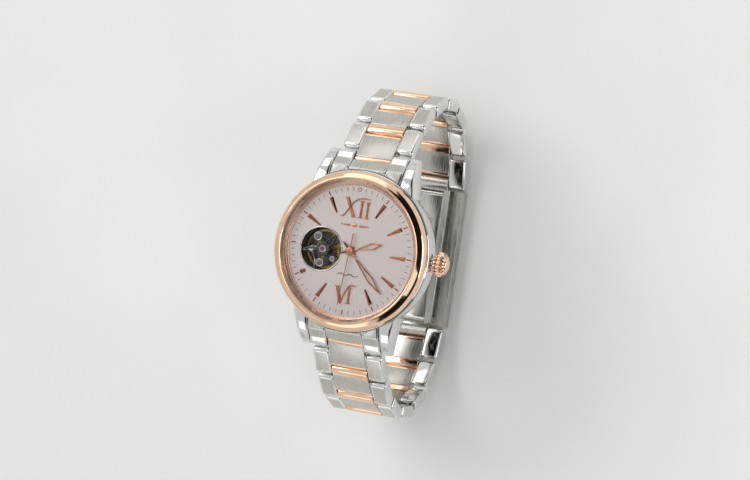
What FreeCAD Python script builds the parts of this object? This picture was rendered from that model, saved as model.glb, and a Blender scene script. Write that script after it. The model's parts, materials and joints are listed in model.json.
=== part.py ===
import FreeCAD, Part
import math
import os

# Open-heart automatic wristwatch, millimetres. The dial faces +Z, 12 o'clock is +Y, the crown +X.
# The origin is the centre of the case back's outer face, on the axis of the hands.

os.makedirs("parts", exist_ok=True)
V = FreeCAD.Vector

# ---- Case ----
case_r = 17.0              # widest radius of the middle
case_bore_r = 14.4         # bore that holds the movement and dial
case_foot_r = 15.7         # radius at the middle's underside
back_t = 1.0               # case back flange and its crystal
back_r = 15.2              # case back flange radius
back_glass_r = 11.5        # case back crystal radius
back_lip = 0.5             # width and height of the lip over the back crystal
spigot_h = 0.9             # threaded spigot of the case back
spigot_w = 0.8             # its wall
bezel_r = 16.75            # bezel's widest radius
bezel_h = 2.9              # bezel height above the middle
bezel_land_w = 0.55        # width of the bezel's top land
crystal_r = 14.75          # front crystal radius
crystal_t = 2.0            # front crystal thickness at the edge
crystal_dome = 0.35        # rise of its centre
gasket_w = 0.15            # crystal gasket's wall
flange_r = 13.7            # inner radius of the rehaut ring, the visible dial's radius
lug_gap = 16.0             # width between the lugs
lug_w = 1.9                # lug width at its tip
lug_spread = 1.6           # extra lug width where it leaves the case
lug_reach = 1.5            # lug length past the first bracelet pin
lug_h = 2.9                # lug height at its tip

# ---- Movement levels, from the case back upwards ----
rotor_gap = 0.6            # air between the back crystal and the rotor's weight
rotor_rim_t = 1.2          # rotor's weight
layer_gap = 0.15           # air between moving layers
ratchet_t = 0.3            # barrel ratchet wheel and crown wheel
bridge_t = 0.6             # train bridge
train_h = 2.1              # room for the train between bridge and main plate
plate_t = 1.4              # main plate
motion_h = 0.9             # room for the motion works under the dial
dial_t = 0.4               # dial
movement_r = 13.3          # movement radius

rotor_z0 = back_t + rotor_gap
rotor_z1 = rotor_z0 + rotor_rim_t
ratchet_z0 = rotor_z1 + layer_gap
ratchet_z1 = ratchet_z0 + ratchet_t
bridge_z0 = ratchet_z1 + layer_gap / 3
bridge_z1 = bridge_z0 + bridge_t
plate_z0 = bridge_z1 + train_h
plate_z1 = plate_z0 + plate_t
dial_z0 = plate_z1 + motion_h
dial_z1 = dial_z0 + dial_t
case_z1 = dial_z0 + dial_t / 4
bezel_z1 = case_z1 + bezel_h

# ---- Wheels: teeth and centre distances ----
wheel_t = 0.15             # thickness of a train wheel
arbor_r = 0.25             # arbors
pivot_r = 0.1              # pivots at the arbor ends
run = 0.03                 # running clearance, radial
jewel_r = 0.5              # bearing jewels
fourth_teeth = 72
escape_pinion_teeth = 8
escape_teeth = 20
third_teeth = 64
train_pinion_teeth = 8     # third and fourth pinions
center_teeth = 60
center_pinion_teeth = 12
barrel_teeth = 84
cannon_teeth = 12
minute_teeth = 36
minute_pinion_teeth = 10
hour_teeth = 40
ratchet_teeth = 45
crown_wheel_teeth = 30
rotor_pinion_teeth = 16
reversing_teeth = 24
escape_distance = 4.7      # hands' axis to escape wheel
third_distance = 4.8       # hands' axis to third wheel
barrel_distance = 6.4      # hands' axis to barrel
motion_distance = 2.88     # hands' axis to minute wheel
winding_distance = 7.5     # barrel to crown wheel
reversing_distance = 4.0   # hands' axis to reversing wheel
barrel_angle = 70.0
third_angle = -60.0
motion_angle = -30.0
winding_angle = -33.0      # direction from barrel to crown wheel
reversing_angle = 140.0

# ---- Balance and lever ----
balance_x = -6.6           # centre of the dial's aperture
balance_y = -0.5
aperture_r = 4.45
balance_r = 4.1            # balance rim, outside
balance_rim_w = 0.45
balance_rim_t = 0.5
lever_length = 2.9         # balance to lever pivot
lever_distance = 2.25      # lever pivot to escape wheel
escape_r = 1.9
roller_r = 0.55
bridge_ring_r = 1.32       # ring round the balance jewel on the dial side

# ---- Hands and markers ----
hour_length = 7.15
minute_length = 11.3
seconds_length = 11.6
seconds_tail = 3.7
hand_t = 0.12
hand_gap = 0.13            # air between hands
hour_angle = 71.4          # clockwise from 12
minute_angle = 134.9
seconds_angle = 185.0
marker_t = 0.25
marker_r0 = 8.6            # inner and outer ends of the applied batons
marker_r1 = 12.0
marker_w = 0.9             # their width outside
marker_tip_w = 0.35        # and inside
numeral_r = 9.05           # centre of XII and VI
numeral_h = 4.2
numeral_stroke = 0.5

# ---- Crown and stem ----
crown_r = 2.6
crown_length = 3.0
crown_gap = 0.25           # crown to case when pushed in
crown_flutes = 18
stem_r = 0.5
stem_z = bridge_z1 + 0.7
tube_r = 1.3               # crown tube outside radius
tube_length = 1.1          # how far the tube stands out of the case
stem_block_x = 6.9         # inner end of the main plate's stem block
stem_block_w = 4.4
winding_x0 = 9.7           # winding pinion along the stem
winding_x1 = 10.7
clutch_x0 = 8.15           # clutch wheel along the stem
clutch_x1 = winding_x0 - 0.05
winding_pinion_r = 1.25
clutch_r = 1.1
crown_pull = 1.0           # travel of the crown from winding to setting
clutch_throw = 0.8         # travel of the clutch wheel meanwhile

# ---- Bracelet ----
link_pitch = 7.75          # pin to pin
lug_play = 0.2             # bracelet to lug, each side
link_w = lug_gap - 2 * lug_play
link_t = 2.8               # thickness
center_w = 8.0             # centre column
link_gap = 0.35            # gap between a plate's end and the next bar
side_gap = 0.08            # side clearance beside each bar
link_pin_r = 0.5
pin_play = 0.05            # running clearance of a link on its pin
first_pin_out = 2.3        # first pin beyond the case radius
first_pin_z = 2.0
link_slopes = (39.0, 49.0, 67.0, 90.0, 115.0, 140.0, 165.0)   # each link's angle below level

# ---- Clasp ----
clasp_t = 0.7              # blades
cover_t = 0.8              # cover plate
cover_wall = 1.0           # cover side walls
tongue_w = 5.8             # inner blade width
rail_w = 1.4               # each rail of the outer blade
clasp_room = 0.95          # from the cover plate's square end in to the blade hinges
clasp_drop = 0.55          # blade hinges, outward of the bracelet's last pins


# ---- Shape helpers ----
def point(angle, radius, centre=(0.0, 0.0)):
    turn = math.radians(angle)
    return (centre[0] + radius * math.cos(turn), centre[1] + radius * math.sin(turn))


def disc(radius, z0, z1, centre=(0.0, 0.0)):
    return Part.makeCylinder(radius, z1 - z0, V(centre[0], centre[1], z0))


def ring(inner, outer, z0, z1, centre=(0.0, 0.0)):
    return disc(outer, z0, z1, centre).cut(disc(inner, z0 - 1, z1 + 1, centre))


def rod(radius, x0, x1, y=0.0, z=0.0):
    return Part.makeCylinder(radius, x1 - x0, V(x0, y, z), V(1, 0, 0))


def block(x0, x1, y0, y1, z0, z1):
    return Part.makeBox(x1 - x0, y1 - y0, z1 - z0, V(x0, y0, z0))


def prism(points, z0, z1):
    corners = [V(x, y, z0) for x, y in points]
    face = Part.Face(Part.makePolygon(corners + corners[:1]))
    return face.extrude(V(0, 0, z1 - z0))


def side_prism(points, x0, x1):
    corners = [V(x0, y, z) for y, z in points]
    face = Part.Face(Part.makePolygon(corners + corners[:1]))
    return face.extrude(V(x1 - x0, 0, 0))


def turned(points, centre=(0.0, 0.0)):
    corners = [V(centre[0] + r, centre[1], z) for r, z in points]
    face = Part.Face(Part.makePolygon(corners + corners[:1]))
    return face.revolve(V(centre[0], centre[1], 0), V(0, 0, 1), 360)


def sector(inner, outer, start, end, z0, z1, centre=(0.0, 0.0)):
    middle = (start + end) / 2
    a, b, c = [V(*point(t, outer, centre), z0) for t in (start, middle, end)]
    d, e, f = [V(*point(t, inner, centre), z0) for t in (end, middle, start)]
    edges = [Part.Arc(a, b, c).toShape(), Part.makeLine(c, d),
             Part.Arc(d, e, f).toShape(), Part.makeLine(f, a)]
    return Part.Face(Part.Wire(edges)).extrude(V(0, 0, z1 - z0))


# A flat spring of half-circle arcs whose radius grows by the same step each half turn.
def spiral(inner, outer, turns, thick, z0, z1, centre):
    step = (outer - inner) / (2 * turns)
    strips = []
    for half in range(2 * turns):
        radius = inner + step * (half + 0.5)
        shift = step / 2 if half % 2 else -step / 2
        start = 180.0 * half
        middle = (centre[0] + shift, centre[1])
        strips.append(sector(radius - thick / 2, radius + thick / 2, start, start + 180.0, z0, z1, middle))
    return strips[0].multiFuse(strips[1:]).removeSplitter()


def joined(shapes):
    return shapes[0].multiFuse(shapes[1:]) if len(shapes) > 1 else shapes[0]


def save(node, *shapes):
    solids = []
    for shape in shapes:
        solids.extend(shape.Solids)
    Part.makeCompound(solids).exportStep("parts/" + node + ".step")


# Where circles about two centres cross; side is 1 or -1.
def meet(first, first_r, second, second_r, side):
    dx, dy = second[0] - first[0], second[1] - first[1]
    gap = math.hypot(dx, dy)
    along = (gap * gap + first_r * first_r - second_r * second_r) / (2 * gap)
    out = side * math.sqrt(first_r * first_r - along * along)
    return (first[0] + (along * dx - out * dy) / gap, first[1] + (along * dy + out * dx) / gap)


def heading(start, end):
    return math.degrees(math.atan2(end[1] - start[1], end[0] - start[0]))


# ---- Gear helpers ----
# A toothed disc; a tooth, or else a gap, lies on the facing direction.
def toothed(teeth, pitch_r, z0, z1, centre, facing, tooth=True):
    module = 2 * pitch_r / teeth
    tip, root = pitch_r + 0.85 * module, pitch_r - 1.15 * module
    step = 360.0 / teeth
    first = facing + (0.0 if tooth else step / 2)
    outline = []
    for index in range(teeth):
        middle = first + step * index
        outline.append(point(middle - 0.29 * step, root, centre))
        outline.append(point(middle - 0.11 * step, tip, centre))
        outline.append(point(middle + 0.11 * step, tip, centre))
        outline.append(point(middle + 0.29 * step, root, centre))
    return prism(outline, z0, z1)


# Cutters that leave a wheel with thin arms.
def windows(inner, outer, count, arm, z0, z1, centre, first=0.0):
    step = 360.0 / count
    return [sector(inner, outer, first + step * i + arm, first + step * (i + 1) - arm,
                   z0 - 1, z1 + 1, centre) for i in range(count)]


def arm_wheel(teeth, pitch_r, z0, centre, facing, hub, rim, arms=5):
    plain = toothed(teeth, pitch_r, z0, z0 + wheel_t, centre, facing)
    return plain.cut(joined(windows(hub, pitch_r - rim, arms, 5.0, z0, z0 + wheel_t, centre, facing + 18)))


# A plain arbor between the bridge and the main plate, with a pivot at each end.
def arbor(centre, z0, z1):
    return joined([disc(arbor_r, z0, z1, centre), disc(pivot_r, z0 - 0.3, z1 + 0.3, centre)])


hands = (0.0, 0.0)
balance = (balance_x, balance_y)
escape = meet(hands, escape_distance, balance, lever_length + lever_distance, 1)
lever = (balance[0] + (escape[0] - balance[0]) * lever_length / (lever_length + lever_distance),
         balance[1] + (escape[1] - balance[1]) * lever_length / (lever_length + lever_distance))
third = point(third_angle, third_distance)
barrel = point(barrel_angle, barrel_distance)
minute = point(motion_angle, motion_distance)
crown_wheel = point(winding_angle, winding_distance, barrel)
reversing = point(reversing_angle, reversing_distance)


def share(distance, teeth, other):
    return distance * teeth / (teeth + other)


fourth_r = share(escape_distance, fourth_teeth, escape_pinion_teeth)
escape_pinion_r = escape_distance - fourth_r
third_r = share(third_distance, third_teeth, train_pinion_teeth)
fourth_pinion_r = third_distance - third_r
center_r = share(third_distance, center_teeth, train_pinion_teeth)
third_pinion_r = third_distance - center_r
barrel_r = share(barrel_distance, barrel_teeth, center_pinion_teeth)
center_pinion_r = barrel_distance - barrel_r
minute_r = share(motion_distance, minute_teeth, cannon_teeth)
cannon_r = motion_distance - minute_r
hour_r = share(motion_distance, hour_teeth, minute_pinion_teeth)
minute_pinion_r = motion_distance - hour_r
ratchet_r = share(winding_distance, ratchet_teeth, crown_wheel_teeth)
crown_wheel_r = winding_distance - ratchet_r
rotor_pinion_r = share(reversing_distance, rotor_pinion_teeth, reversing_teeth)
reversing_r = reversing_distance - rotor_pinion_r

# Heights of the train, above the bridge
fourth_z = bridge_z1 + 0.4
fourth_pinion_z = fourth_z + wheel_t + 0.1
third_z = fourth_pinion_z + 0.23
escape_z = third_z + wheel_t + 0.17
center_z = escape_z + wheel_t + 0.2
third_pinion_z = center_z - 0.12
center_pinion_z = center_z + wheel_t + 0.08
barrel_z = center_pinion_z + 0.07
balance_z = plate_z0 - 0.25

# Radii of the hollow arbors at the hands' axis
seconds_r = 0.13
center_tube_r = 0.32
cannon_tube_r = 0.5
hour_tube_r = 0.75
dial_hole_r = hour_tube_r + 0.1

# Heights of the hands
hour_hand_z = dial_z1 + marker_t + 0.1
minute_hand_z = hour_hand_z + hand_t + hand_gap
seconds_hand_z = minute_hand_z + hand_t + hand_gap
crystal_z0 = seconds_hand_z + hand_t + 0.3

pillar_r = movement_r - 0.9          # inner radius of the main plate's rim wall
barrel_pocket_r = barrel_r + 0.35
barrel_pocket_z = plate_z1 - 0.25
balance_hole_r = balance_r + 0.4

# ---- Small parts ----
gasket_h = 0.3                       # back gasket's width
gasket_z0 = back_t - 0.25            # its groove in the case back
barrel_arbor_r = 0.75
rotor_post_r = 1.2
post_r = 0.35                        # posts of the winding wheels and the click
screw_r = 0.3
screw_head_r = 0.65
screw_places = [point(angle, movement_r - 1.9) for angle in (28, 128, 200, 250, 318)]
bridge_arms = ((38.0, 0.45), (68.0, 0.45), (195.0, 0.8), (262.0, 0.5))   # direction and width
pallet_pillar = point(heading(balance, lever) - 28.0, balance_r + 1.9, balance)
pallet_bridge_z = escape_z + wheel_t + 0.05
click_place = point(barrel_angle + 28.0, barrel_distance + 3.9)
lever_x0 = clutch_x1 + 1.5           # groove in the stem where the setting lever sits
lever_groove_w = 0.7
lever_pivot = (lever_x0 + lever_groove_w / 2, 3.0)
lever_post_r = 0.2
first_pin_y = case_r + first_pin_out
spring_tip_r = 0.4                   # ends of the spring bars, in the lugs

# ---- Case ----
def case_middle():
    shell = turned([(case_bore_r, back_t), (case_foot_r, back_t), (case_foot_r + 0.9, back_t + 2.0),
                    (case_r, case_z1 - 1.9), (case_r, case_z1 - 0.8), (bezel_r - 0.15, case_z1),
                    (case_bore_r, case_z1)])
    pieces = [shell]
    for side in (-1, 1):
        for end in (-1, 1):
            pieces.append(lug(side, end))
    tube = rod(tube_r, case_bore_r + 0.1, case_r + tube_length, 0, stem_z)
    body = joined(pieces + [tube]).cut(disc(case_bore_r, back_t - 1, case_z1 + 1))
    body = body.cut(rod(stem_r + pin_play, case_bore_r - 1, case_r + tube_length + 1, 0, stem_z))
    seat = tube_r - 0.35
    return body.cut(rod(seat, case_r + tube_length - 0.8, case_r + tube_length + 1, 0, stem_z))


def lug(side, end):
    inner = lug_gap / 2
    tip_y = first_pin_y + lug_reach
    root_y = case_r * 0.72
    plan = prism([(side * inner, end * root_y), (side * (inner + lug_w + lug_spread), end * root_y),
                  (side * (inner + lug_w + 0.5), end * (first_pin_y - 1.6)),
                  (side * (inner + lug_w), end * tip_y), (side * inner, end * tip_y)], 0, case_z1)
    crest = first_pin_z + lug_h * 0.45
    profile = side_prism([(end * root_y, case_z1 - 0.5), (end * (case_r * 0.93), case_z1 - 1.0),
                          (end * (case_r + 1.2), case_z1 - 3.0), (end * (tip_y - 0.5), crest + 0.7),
                          (end * tip_y, crest - 0.4), (end * tip_y, crest - lug_h + 0.7),
                          (end * (tip_y - 0.6), crest - lug_h), (end * case_r, back_t + 0.3),
                          (end * root_y, back_t + 0.3)], -case_r, case_r)
    hole = rod(spring_tip_r, -case_r, case_r, end * first_pin_y, first_pin_z)
    return plan.common(profile).cut(hole)


def bezel():
    seat = crystal_r + gasket_w
    ring_profile = [(case_bore_r, case_z1), (bezel_r - 0.2, case_z1), (bezel_r, case_z1 + 0.3)]
    land = seat + bezel_land_w
    for step in range(7):
        turn = math.radians(15 * step)
        ring_profile.append((land + (bezel_r - land) * math.cos(turn),
                             case_z1 + 0.5 + (bezel_h - 0.5) * math.sin(turn)))
    ring_profile += [(seat, bezel_z1), (seat, crystal_z0), (case_bore_r, crystal_z0)]
    return turned(ring_profile)


def crystal():
    top = crystal_z0 + crystal_t
    profile = [(0, crystal_z0), (crystal_r, crystal_z0), (crystal_r, top - 0.2), (crystal_r - 0.2, top)]
    for share_out in (0.75, 0.5, 0.25, 0.0):
        profile.append((crystal_r * share_out, top + crystal_dome * (1 - share_out ** 2)))
    return turned(profile)


def case_gaskets():
    front = ring(crystal_r, crystal_r + gasket_w, crystal_z0, bezel_z1 - 0.3)
    middle = case_bore_r + (case_foot_r - case_bore_r) / 3
    back = turned([(middle, gasket_z0), (middle + gasket_h, gasket_z0), (middle + gasket_h, back_t),
                   (middle, back_t)])
    stem = rod(tube_r - 0.35, case_r + tube_length - 0.8, case_r + tube_length - 0.2, 0, stem_z)
    return front, back, stem.cut(rod(stem_r + pin_play, 0, 2 * case_r, 0, stem_z))


def case_back():
    spigot_r = case_bore_r - run
    profile = [(back_glass_r, 0), (back_r - 0.4, 0), (back_r, 0.4), (back_r, back_t),
               (spigot_r, back_t), (spigot_r, back_t + spigot_h), (spigot_r - spigot_w, back_t + spigot_h),
               (spigot_r - spigot_w, back_t + back_lip), (back_glass_r - back_lip, back_t + back_lip),
               (back_glass_r - back_lip, back_t), (back_glass_r, back_t)]
    body = turned(profile)
    middle = case_bore_r + (case_foot_r - case_bore_r) / 3
    body = body.cut(ring(middle, middle + gasket_h, gasket_z0, back_t + 1))
    key = (back_glass_r + back_r) / 2
    slots = []
    for index in range(6):
        x, y = point(60 * index, key)
        slots.append(disc(0.7, -1, 0.45, (x, y)))
    return body.cut(joined(slots))


def rehaut_ring():
    top = crystal_z0
    low = dial_z1
    step = (case_bore_r - flange_r) / 3
    return turned([(flange_r, low), (case_bore_r - run, low), (case_bore_r - run, top),
                   (flange_r + 2 * step, top), (flange_r + 1.5 * step, low + (top - low) * 0.62),
                   (flange_r + 1.1 * step, low + (top - low) * 0.6), (flange_r, low + 0.25)])


def dial():
    plate = disc(case_bore_r - 2 * run, dial_z0, dial_z1)
    return plate.cut(joined([disc(aperture_r, dial_z0 - 1, dial_z1 + 1, balance),
                             disc(dial_hole_r, dial_z0 - 1, dial_z1 + 1)]))


def baton(clock_angle, start):
    turn = math.radians(90 - clock_angle)
    along = V(math.cos(turn), math.sin(turn), 0)
    side = V(-along.y, along.x, 0)
    grow = (start - marker_r0) / (marker_r1 - marker_r0)
    half0 = (marker_tip_w + (marker_w - marker_tip_w) * grow) / 2
    corners = [along * start + side * half0, along * marker_r1 + side * (marker_w / 2),
               along * marker_r1 - side * (marker_w / 2), along * start - side * half0]
    return prism([(p.x, p.y) for p in corners], dial_z1, dial_z1 + marker_t)


def stroke(x0, y0, x1, y1):
    length = math.hypot(x1 - x0, y1 - y0)
    px, py = (y0 - y1) / length * numeral_stroke / 2, (x1 - x0) / length * numeral_stroke / 2
    return prism([(x0 + px, y0 + py), (x1 + px, y1 + py), (x1 - px, y1 - py), (x0 - px, y0 - py)],
                 dial_z1, dial_z1 + marker_t)


def numeral(letters, middle, height):
    pitch = height * 0.42
    x = -pitch * (len(letters) - 1) / 2
    pieces = []
    for letter in letters:
        spread = {"X": 0.36, "V": 0.3, "I": 0.0}[letter] * height
        low, high = middle - height / 2, middle + height / 2
        if letter == "X":
            pieces.append(joined([stroke(x - spread, low, x + spread, high),
                                  stroke(x - spread, high, x + spread, low)]))
        elif letter == "V":
            pieces.append(joined([stroke(x - spread, high, x, low), stroke(x, low, x + spread, high)]))
        else:
            pieces.append(stroke(x, low, x, high))
        x += pitch * 1.15 if letter == "X" else pitch
    return pieces


def hour_markers():
    pieces = []
    for hour in (1, 2, 3, 4, 5, 7, 10, 11):
        pieces.append(baton(30 * hour, marker_r0))
    toward = point(210, 1.0)
    over = balance[0] * toward[0] + balance[1] * toward[1]
    aside = balance[0] * toward[1] - balance[1] * toward[0]
    pieces.append(baton(240, over + math.sqrt(aperture_r ** 2 - aside ** 2) + 0.7))
    pieces += numeral("XII", numeral_r, numeral_h)
    pieces += numeral("VI", -numeral_r, numeral_h)
    return joined(pieces)


def movement_holder():
    flat = ring(movement_r, case_bore_r - 2 * run, bridge_z1, dial_z0)
    return flat.cut(rod(tube_r, movement_r - 1, case_bore_r + 1, 0, stem_z))


# ---- Plates and bridges ----
def main_plate():
    wall = ring(pillar_r, movement_r, bridge_z1, plate_z0)
    body = joined([disc(movement_r, plate_z0, plate_z1), wall,
                   block(stem_block_x, movement_r - 0.3, -stem_block_w / 2, stem_block_w / 2,
                         bridge_z1, plate_z0)])
    cutters = [disc(barrel_pocket_r, bridge_z1, barrel_pocket_z, barrel),
               disc(barrel_arbor_r - 0.2 + run, bridge_z1, plate_z1 + 1, barrel),
               disc(balance_hole_r, bridge_z1, plate_z1 + 1, balance),
               disc(center_tube_r + run, bridge_z1, plate_z1 + 1),
               rod(stem_r + pin_play, stem_block_x - 1, movement_r + 1, 0, stem_z),
               block(winding_x0 - 0.05, winding_x1 + 0.05, -winding_pinion_r - 0.2,
                     winding_pinion_r + 0.2, bridge_z1 - 1, plate_z0 + 0.2),
               block(clutch_x0 - clutch_throw - 0.1, clutch_x1 + 0.1, -clutch_r - 0.2,
                     clutch_r + 0.2, bridge_z1 - 1, plate_z0 + 0.2),
               block(lever_x0 - 0.2, lever_x0 + 0.9 + crown_pull, -stem_block_w / 2 - 1,
                     stem_block_w / 2 + 1, stem_z, plate_z0),
               disc(lever_post_r + run, plate_z0 - 1, plate_z0 + 0.5, lever_pivot),
               disc(pivot_r * 2 + run, plate_z1 - 0.6, plate_z1 + 1, minute)]
    for angle, width in bridge_arms:
        cutters.append(disc(screw_r, plate_z1 - 0.6, plate_z1 + 1, bridge_foot(angle)))
    for place in (third, escape):
        cutters.append(disc(jewel_r, plate_z0 - 0.5, plate_z0 + 0.5, place))
    cutters.append(disc(pivot_r + run, plate_z0, plate_z1 + 1, third))
    cutters.append(disc(pivot_r + run, plate_z0, plate_z1 + 1, escape))
    return body.cut(joined(cutters))


def train_bridge():
    body = disc(pillar_r + 0.5, bridge_z0, bridge_z1)
    post = joined([disc(rotor_post_r, rotor_z0 + 0.1, bridge_z0),
                   disc(rotor_post_r + 0.4, rotor_z0 - 0.25, rotor_z0 + 0.1)])
    pillar = disc(0.7, bridge_z1, pallet_bridge_z, pallet_pillar)
    body = joined([body, post, pillar])
    cutters = [disc(barrel_arbor_r + run, bridge_z0 - 1, bridge_z1 + 1, barrel),
               block(clutch_x0 - clutch_throw - 0.1, movement_r, -winding_pinion_r - 0.2,
                     winding_pinion_r + 0.9,
                     bridge_z0 - 1, bridge_z1 + 1),
               disc(center_tube_r + run, bridge_z1 - 0.3, bridge_z1 + 1)]
    for place in (third, escape, lever, balance):
        cutters.append(disc(jewel_r, bridge_z1 - 0.35, bridge_z1 + 1, place))
    for place in (crown_wheel, reversing, click_place):
        cutters.append(disc(post_r + run, bridge_z0 - 1, bridge_z1 + 1, place))
    cutters.append(disc(screw_r, pallet_bridge_z - 0.6, pallet_bridge_z + 1, pallet_pillar))
    for place in screw_places:
        cutters.append(disc(screw_head_r, bridge_z0 - 1, bridge_z0 + 0.3, place))
        cutters.append(disc(screw_r, bridge_z0 - 1, bridge_z1 + 1, place))
    return body.cut(joined(cutters))


def bridge_foot(angle):
    return point(angle, balance_hole_r + 0.75, balance)


def balance_bridge():
    low, high = plate_z1, plate_z1 + 0.6
    pieces = [disc(bridge_ring_r, low, high, balance)]
    for angle, width in bridge_arms:
        arm_end = bridge_foot(angle)
        side = point(angle + 90, width / 2)
        pieces.append(prism([(balance[0] + side[0], balance[1] + side[1]),
                             (arm_end[0] + side[0], arm_end[1] + side[1]),
                             (arm_end[0] - side[0], arm_end[1] - side[1]),
                             (balance[0] - side[0], balance[1] - side[1])], low, high))
        pieces.append(disc(0.75, low, high, arm_end))
    holes = [disc(screw_r, low - 1, high + 1, bridge_foot(angle)) for angle, width in bridge_arms]
    return joined(pieces).cut(joined(holes + [disc(jewel_r, low - 1, high + 1, balance)]))


def pallet_bridge():
    low, high = pallet_bridge_z, pallet_bridge_z + 0.25
    toward = heading(lever, pallet_pillar)
    side = point(toward + 90, 0.45)
    arm = prism([(lever[0] + side[0], lever[1] + side[1]),
                 (pallet_pillar[0] + side[0], pallet_pillar[1] + side[1]),
                 (pallet_pillar[0] - side[0], pallet_pillar[1] - side[1]),
                 (lever[0] - side[0], lever[1] - side[1])], low, high)
    body = joined([arm, disc(0.45, low, high, lever), disc(0.7, low, high, pallet_pillar)])
    return body.cut(joined([disc(pivot_r + run, low - 1, high + 1, lever),
                            disc(screw_r, low - 1, high + 1, pallet_pillar)]))


def bearing_jewels():
    stones = []
    for place in (third, escape, lever, balance):
        stones.append(ring(pivot_r + run, jewel_r, bridge_z1 - 0.35, bridge_z1, place))
    for place in (third, escape):
        stones.append(ring(pivot_r + run, jewel_r, plate_z0, plate_z0 + 0.35, place))
    stones.append(ring(pivot_r + run, jewel_r, plate_z1 + 0.05, plate_z1 + 0.3, balance))
    stones.append(disc(jewel_r, plate_z1 + 0.35, plate_z1 + 0.62, balance))
    return stones


def screw(place, head_z, length, up):
    sign = 1 if up else -1
    head = disc(screw_head_r - run, min(head_z, head_z + sign * 0.28), max(head_z, head_z + sign * 0.28), place)
    shank = disc(screw_r, min(head_z, head_z - sign * length), max(head_z, head_z - sign * length), place)
    slot = block(place[0] - 1, place[0] + 1, place[1] - 0.08, place[1] + 0.08,
                 head_z + (0.16 if up else -0.4), head_z + (0.4 if up else -0.16))
    return joined([head, shank]).cut(slot)


def movement_screws():
    screws = []
    for place in screw_places:
        screws.append(screw(place, bridge_z0 + 0.3, bridge_t - 0.3, False))
    for angle, width in bridge_arms:
        screws.append(screw(bridge_foot(angle), plate_z1 + 0.6, 1.1, True))
    screws.append(screw(pallet_pillar, pallet_bridge_z + 0.25, 0.75, True))
    return screws


# ---- Hands ----
def hand_frame(clock_angle):
    turn = 90 - clock_angle
    return lambda along, side: point(turn + math.degrees(math.atan2(side, along)), math.hypot(along, side))


def leaf_hand(clock_angle, length, wide, hub_r, z0, tail):
    place = hand_frame(clock_angle)
    outline = [(0.0, 0.22), (hub_r + 0.5, 0.3), (length * 0.58, wide / 2), (length, 0.05),
               (length, -0.05), (length * 0.58, -wide / 2), (hub_r + 0.5, -0.3), (0.0, -0.22)]
    opening = [(hub_r + 0.8, 0.0), (length * 0.58, wide / 2 - 0.24), (length * 0.84, 0.0),
               (length * 0.58, 0.24 - wide / 2)]
    z1 = z0 + hand_t
    body = joined([prism([place(*corner) for corner in outline], z0, z1), disc(hub_r, z0, z1),
                   prism([place(0, 0.3), place(-tail, 0.2), place(-tail, -0.2), place(0, -0.3)], z0, z1)])
    return body.cut(prism([place(*corner) for corner in opening], z0 - 1, z1 + 1))


def hour_hand():
    body = leaf_hand(hour_angle, hour_length, 1.9, hour_tube_r + 0.45, hour_hand_z, 2.1)
    return body.cut(disc(hour_tube_r, 0, crystal_z0))


def minute_hand():
    body = leaf_hand(minute_angle, minute_length, 1.5, cannon_tube_r + 0.5, minute_hand_z, 2.4)
    return body.cut(disc(cannon_tube_r, 0, crystal_z0))


def seconds_hand():
    place = hand_frame(seconds_angle)
    z1 = seconds_hand_z + hand_t
    blade = prism([place(-seconds_tail, 0.16), place(0, 0.1), place(seconds_length, 0.05),
                   place(seconds_length, -0.05), place(0, -0.1), place(-seconds_tail, -0.16)],
                  seconds_hand_z, z1)
    return joined([blade, disc(0.75, seconds_hand_z, z1 + 0.1)]).cut(disc(seconds_r, 0, z1 - 0.04))


# ---- Going train ----
def fourth_wheel():
    wheel = arm_wheel(fourth_teeth, fourth_r, fourth_z, hands, heading(hands, escape), 0.9, 0.5)
    pinion = toothed(train_pinion_teeth, fourth_pinion_r, fourth_z, fourth_pinion_z + 0.45, hands,
                     heading(hands, third), False)
    shaft = disc(seconds_r, bridge_z1 + 0.02, seconds_hand_z + hand_t - 0.04)
    return joined([wheel, pinion, shaft])


def center_wheel():
    wheel = arm_wheel(center_teeth, center_r, center_z, hands, heading(hands, third), 1.1, 0.5)
    pinion = toothed(center_pinion_teeth, center_pinion_r, center_z, plate_z0 - 0.06, hands,
                     heading(hands, barrel), False)
    tube = disc(center_tube_r, center_z - 0.1, cannon_z1)
    return joined([wheel, pinion, tube]).cut(disc(seconds_r + run, 0, crystal_z0))


def cannon_pinion():
    pinion = toothed(cannon_teeth, cannon_r, plate_z1 + 0.1, plate_z1 + 0.4, hands,
                     heading(hands, minute), False)
    tube = disc(cannon_tube_r - 0.06, plate_z1 + 0.05, minute_hand_z)
    seat = disc(cannon_tube_r, plate_z1 + 0.4, minute_hand_z + hand_t)
    return joined([pinion, tube, seat]).cut(disc(center_tube_r, 0, crystal_z0))


def minute_wheel():
    wheel = toothed(minute_teeth, minute_r, plate_z1 + 0.17, plate_z1 + 0.17 + wheel_t, minute,
                    heading(minute, hands))
    pinion = toothed(minute_pinion_teeth, minute_pinion_r, plate_z1 + 0.17, plate_z1 + 0.78, minute,
                     heading(minute, hands), False)
    return joined([wheel, pinion, disc(pivot_r * 2, plate_z1 - 0.5, plate_z1 + 0.2, minute)])


def hour_wheel():
    low = plate_z1 + 0.5
    wheel = toothed(hour_teeth, hour_r, low, low + wheel_t, hands, heading(hands, minute))
    tube = disc(hour_tube_r, low, hour_hand_z + hand_t)
    return joined([wheel, tube]).cut(disc(cannon_tube_r + run, 0, crystal_z0))


def third_wheel():
    wheel = arm_wheel(third_teeth, third_r, third_z, third, heading(third, hands), 0.9, 0.5)
    pinion = toothed(train_pinion_teeth, third_pinion_r, third_pinion_z, center_z + wheel_t + 0.1, third,
                     heading(third, hands), False)
    return joined([wheel, pinion, arbor(third, bridge_z1 + 0.03, plate_z0 - 0.03)])


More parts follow.
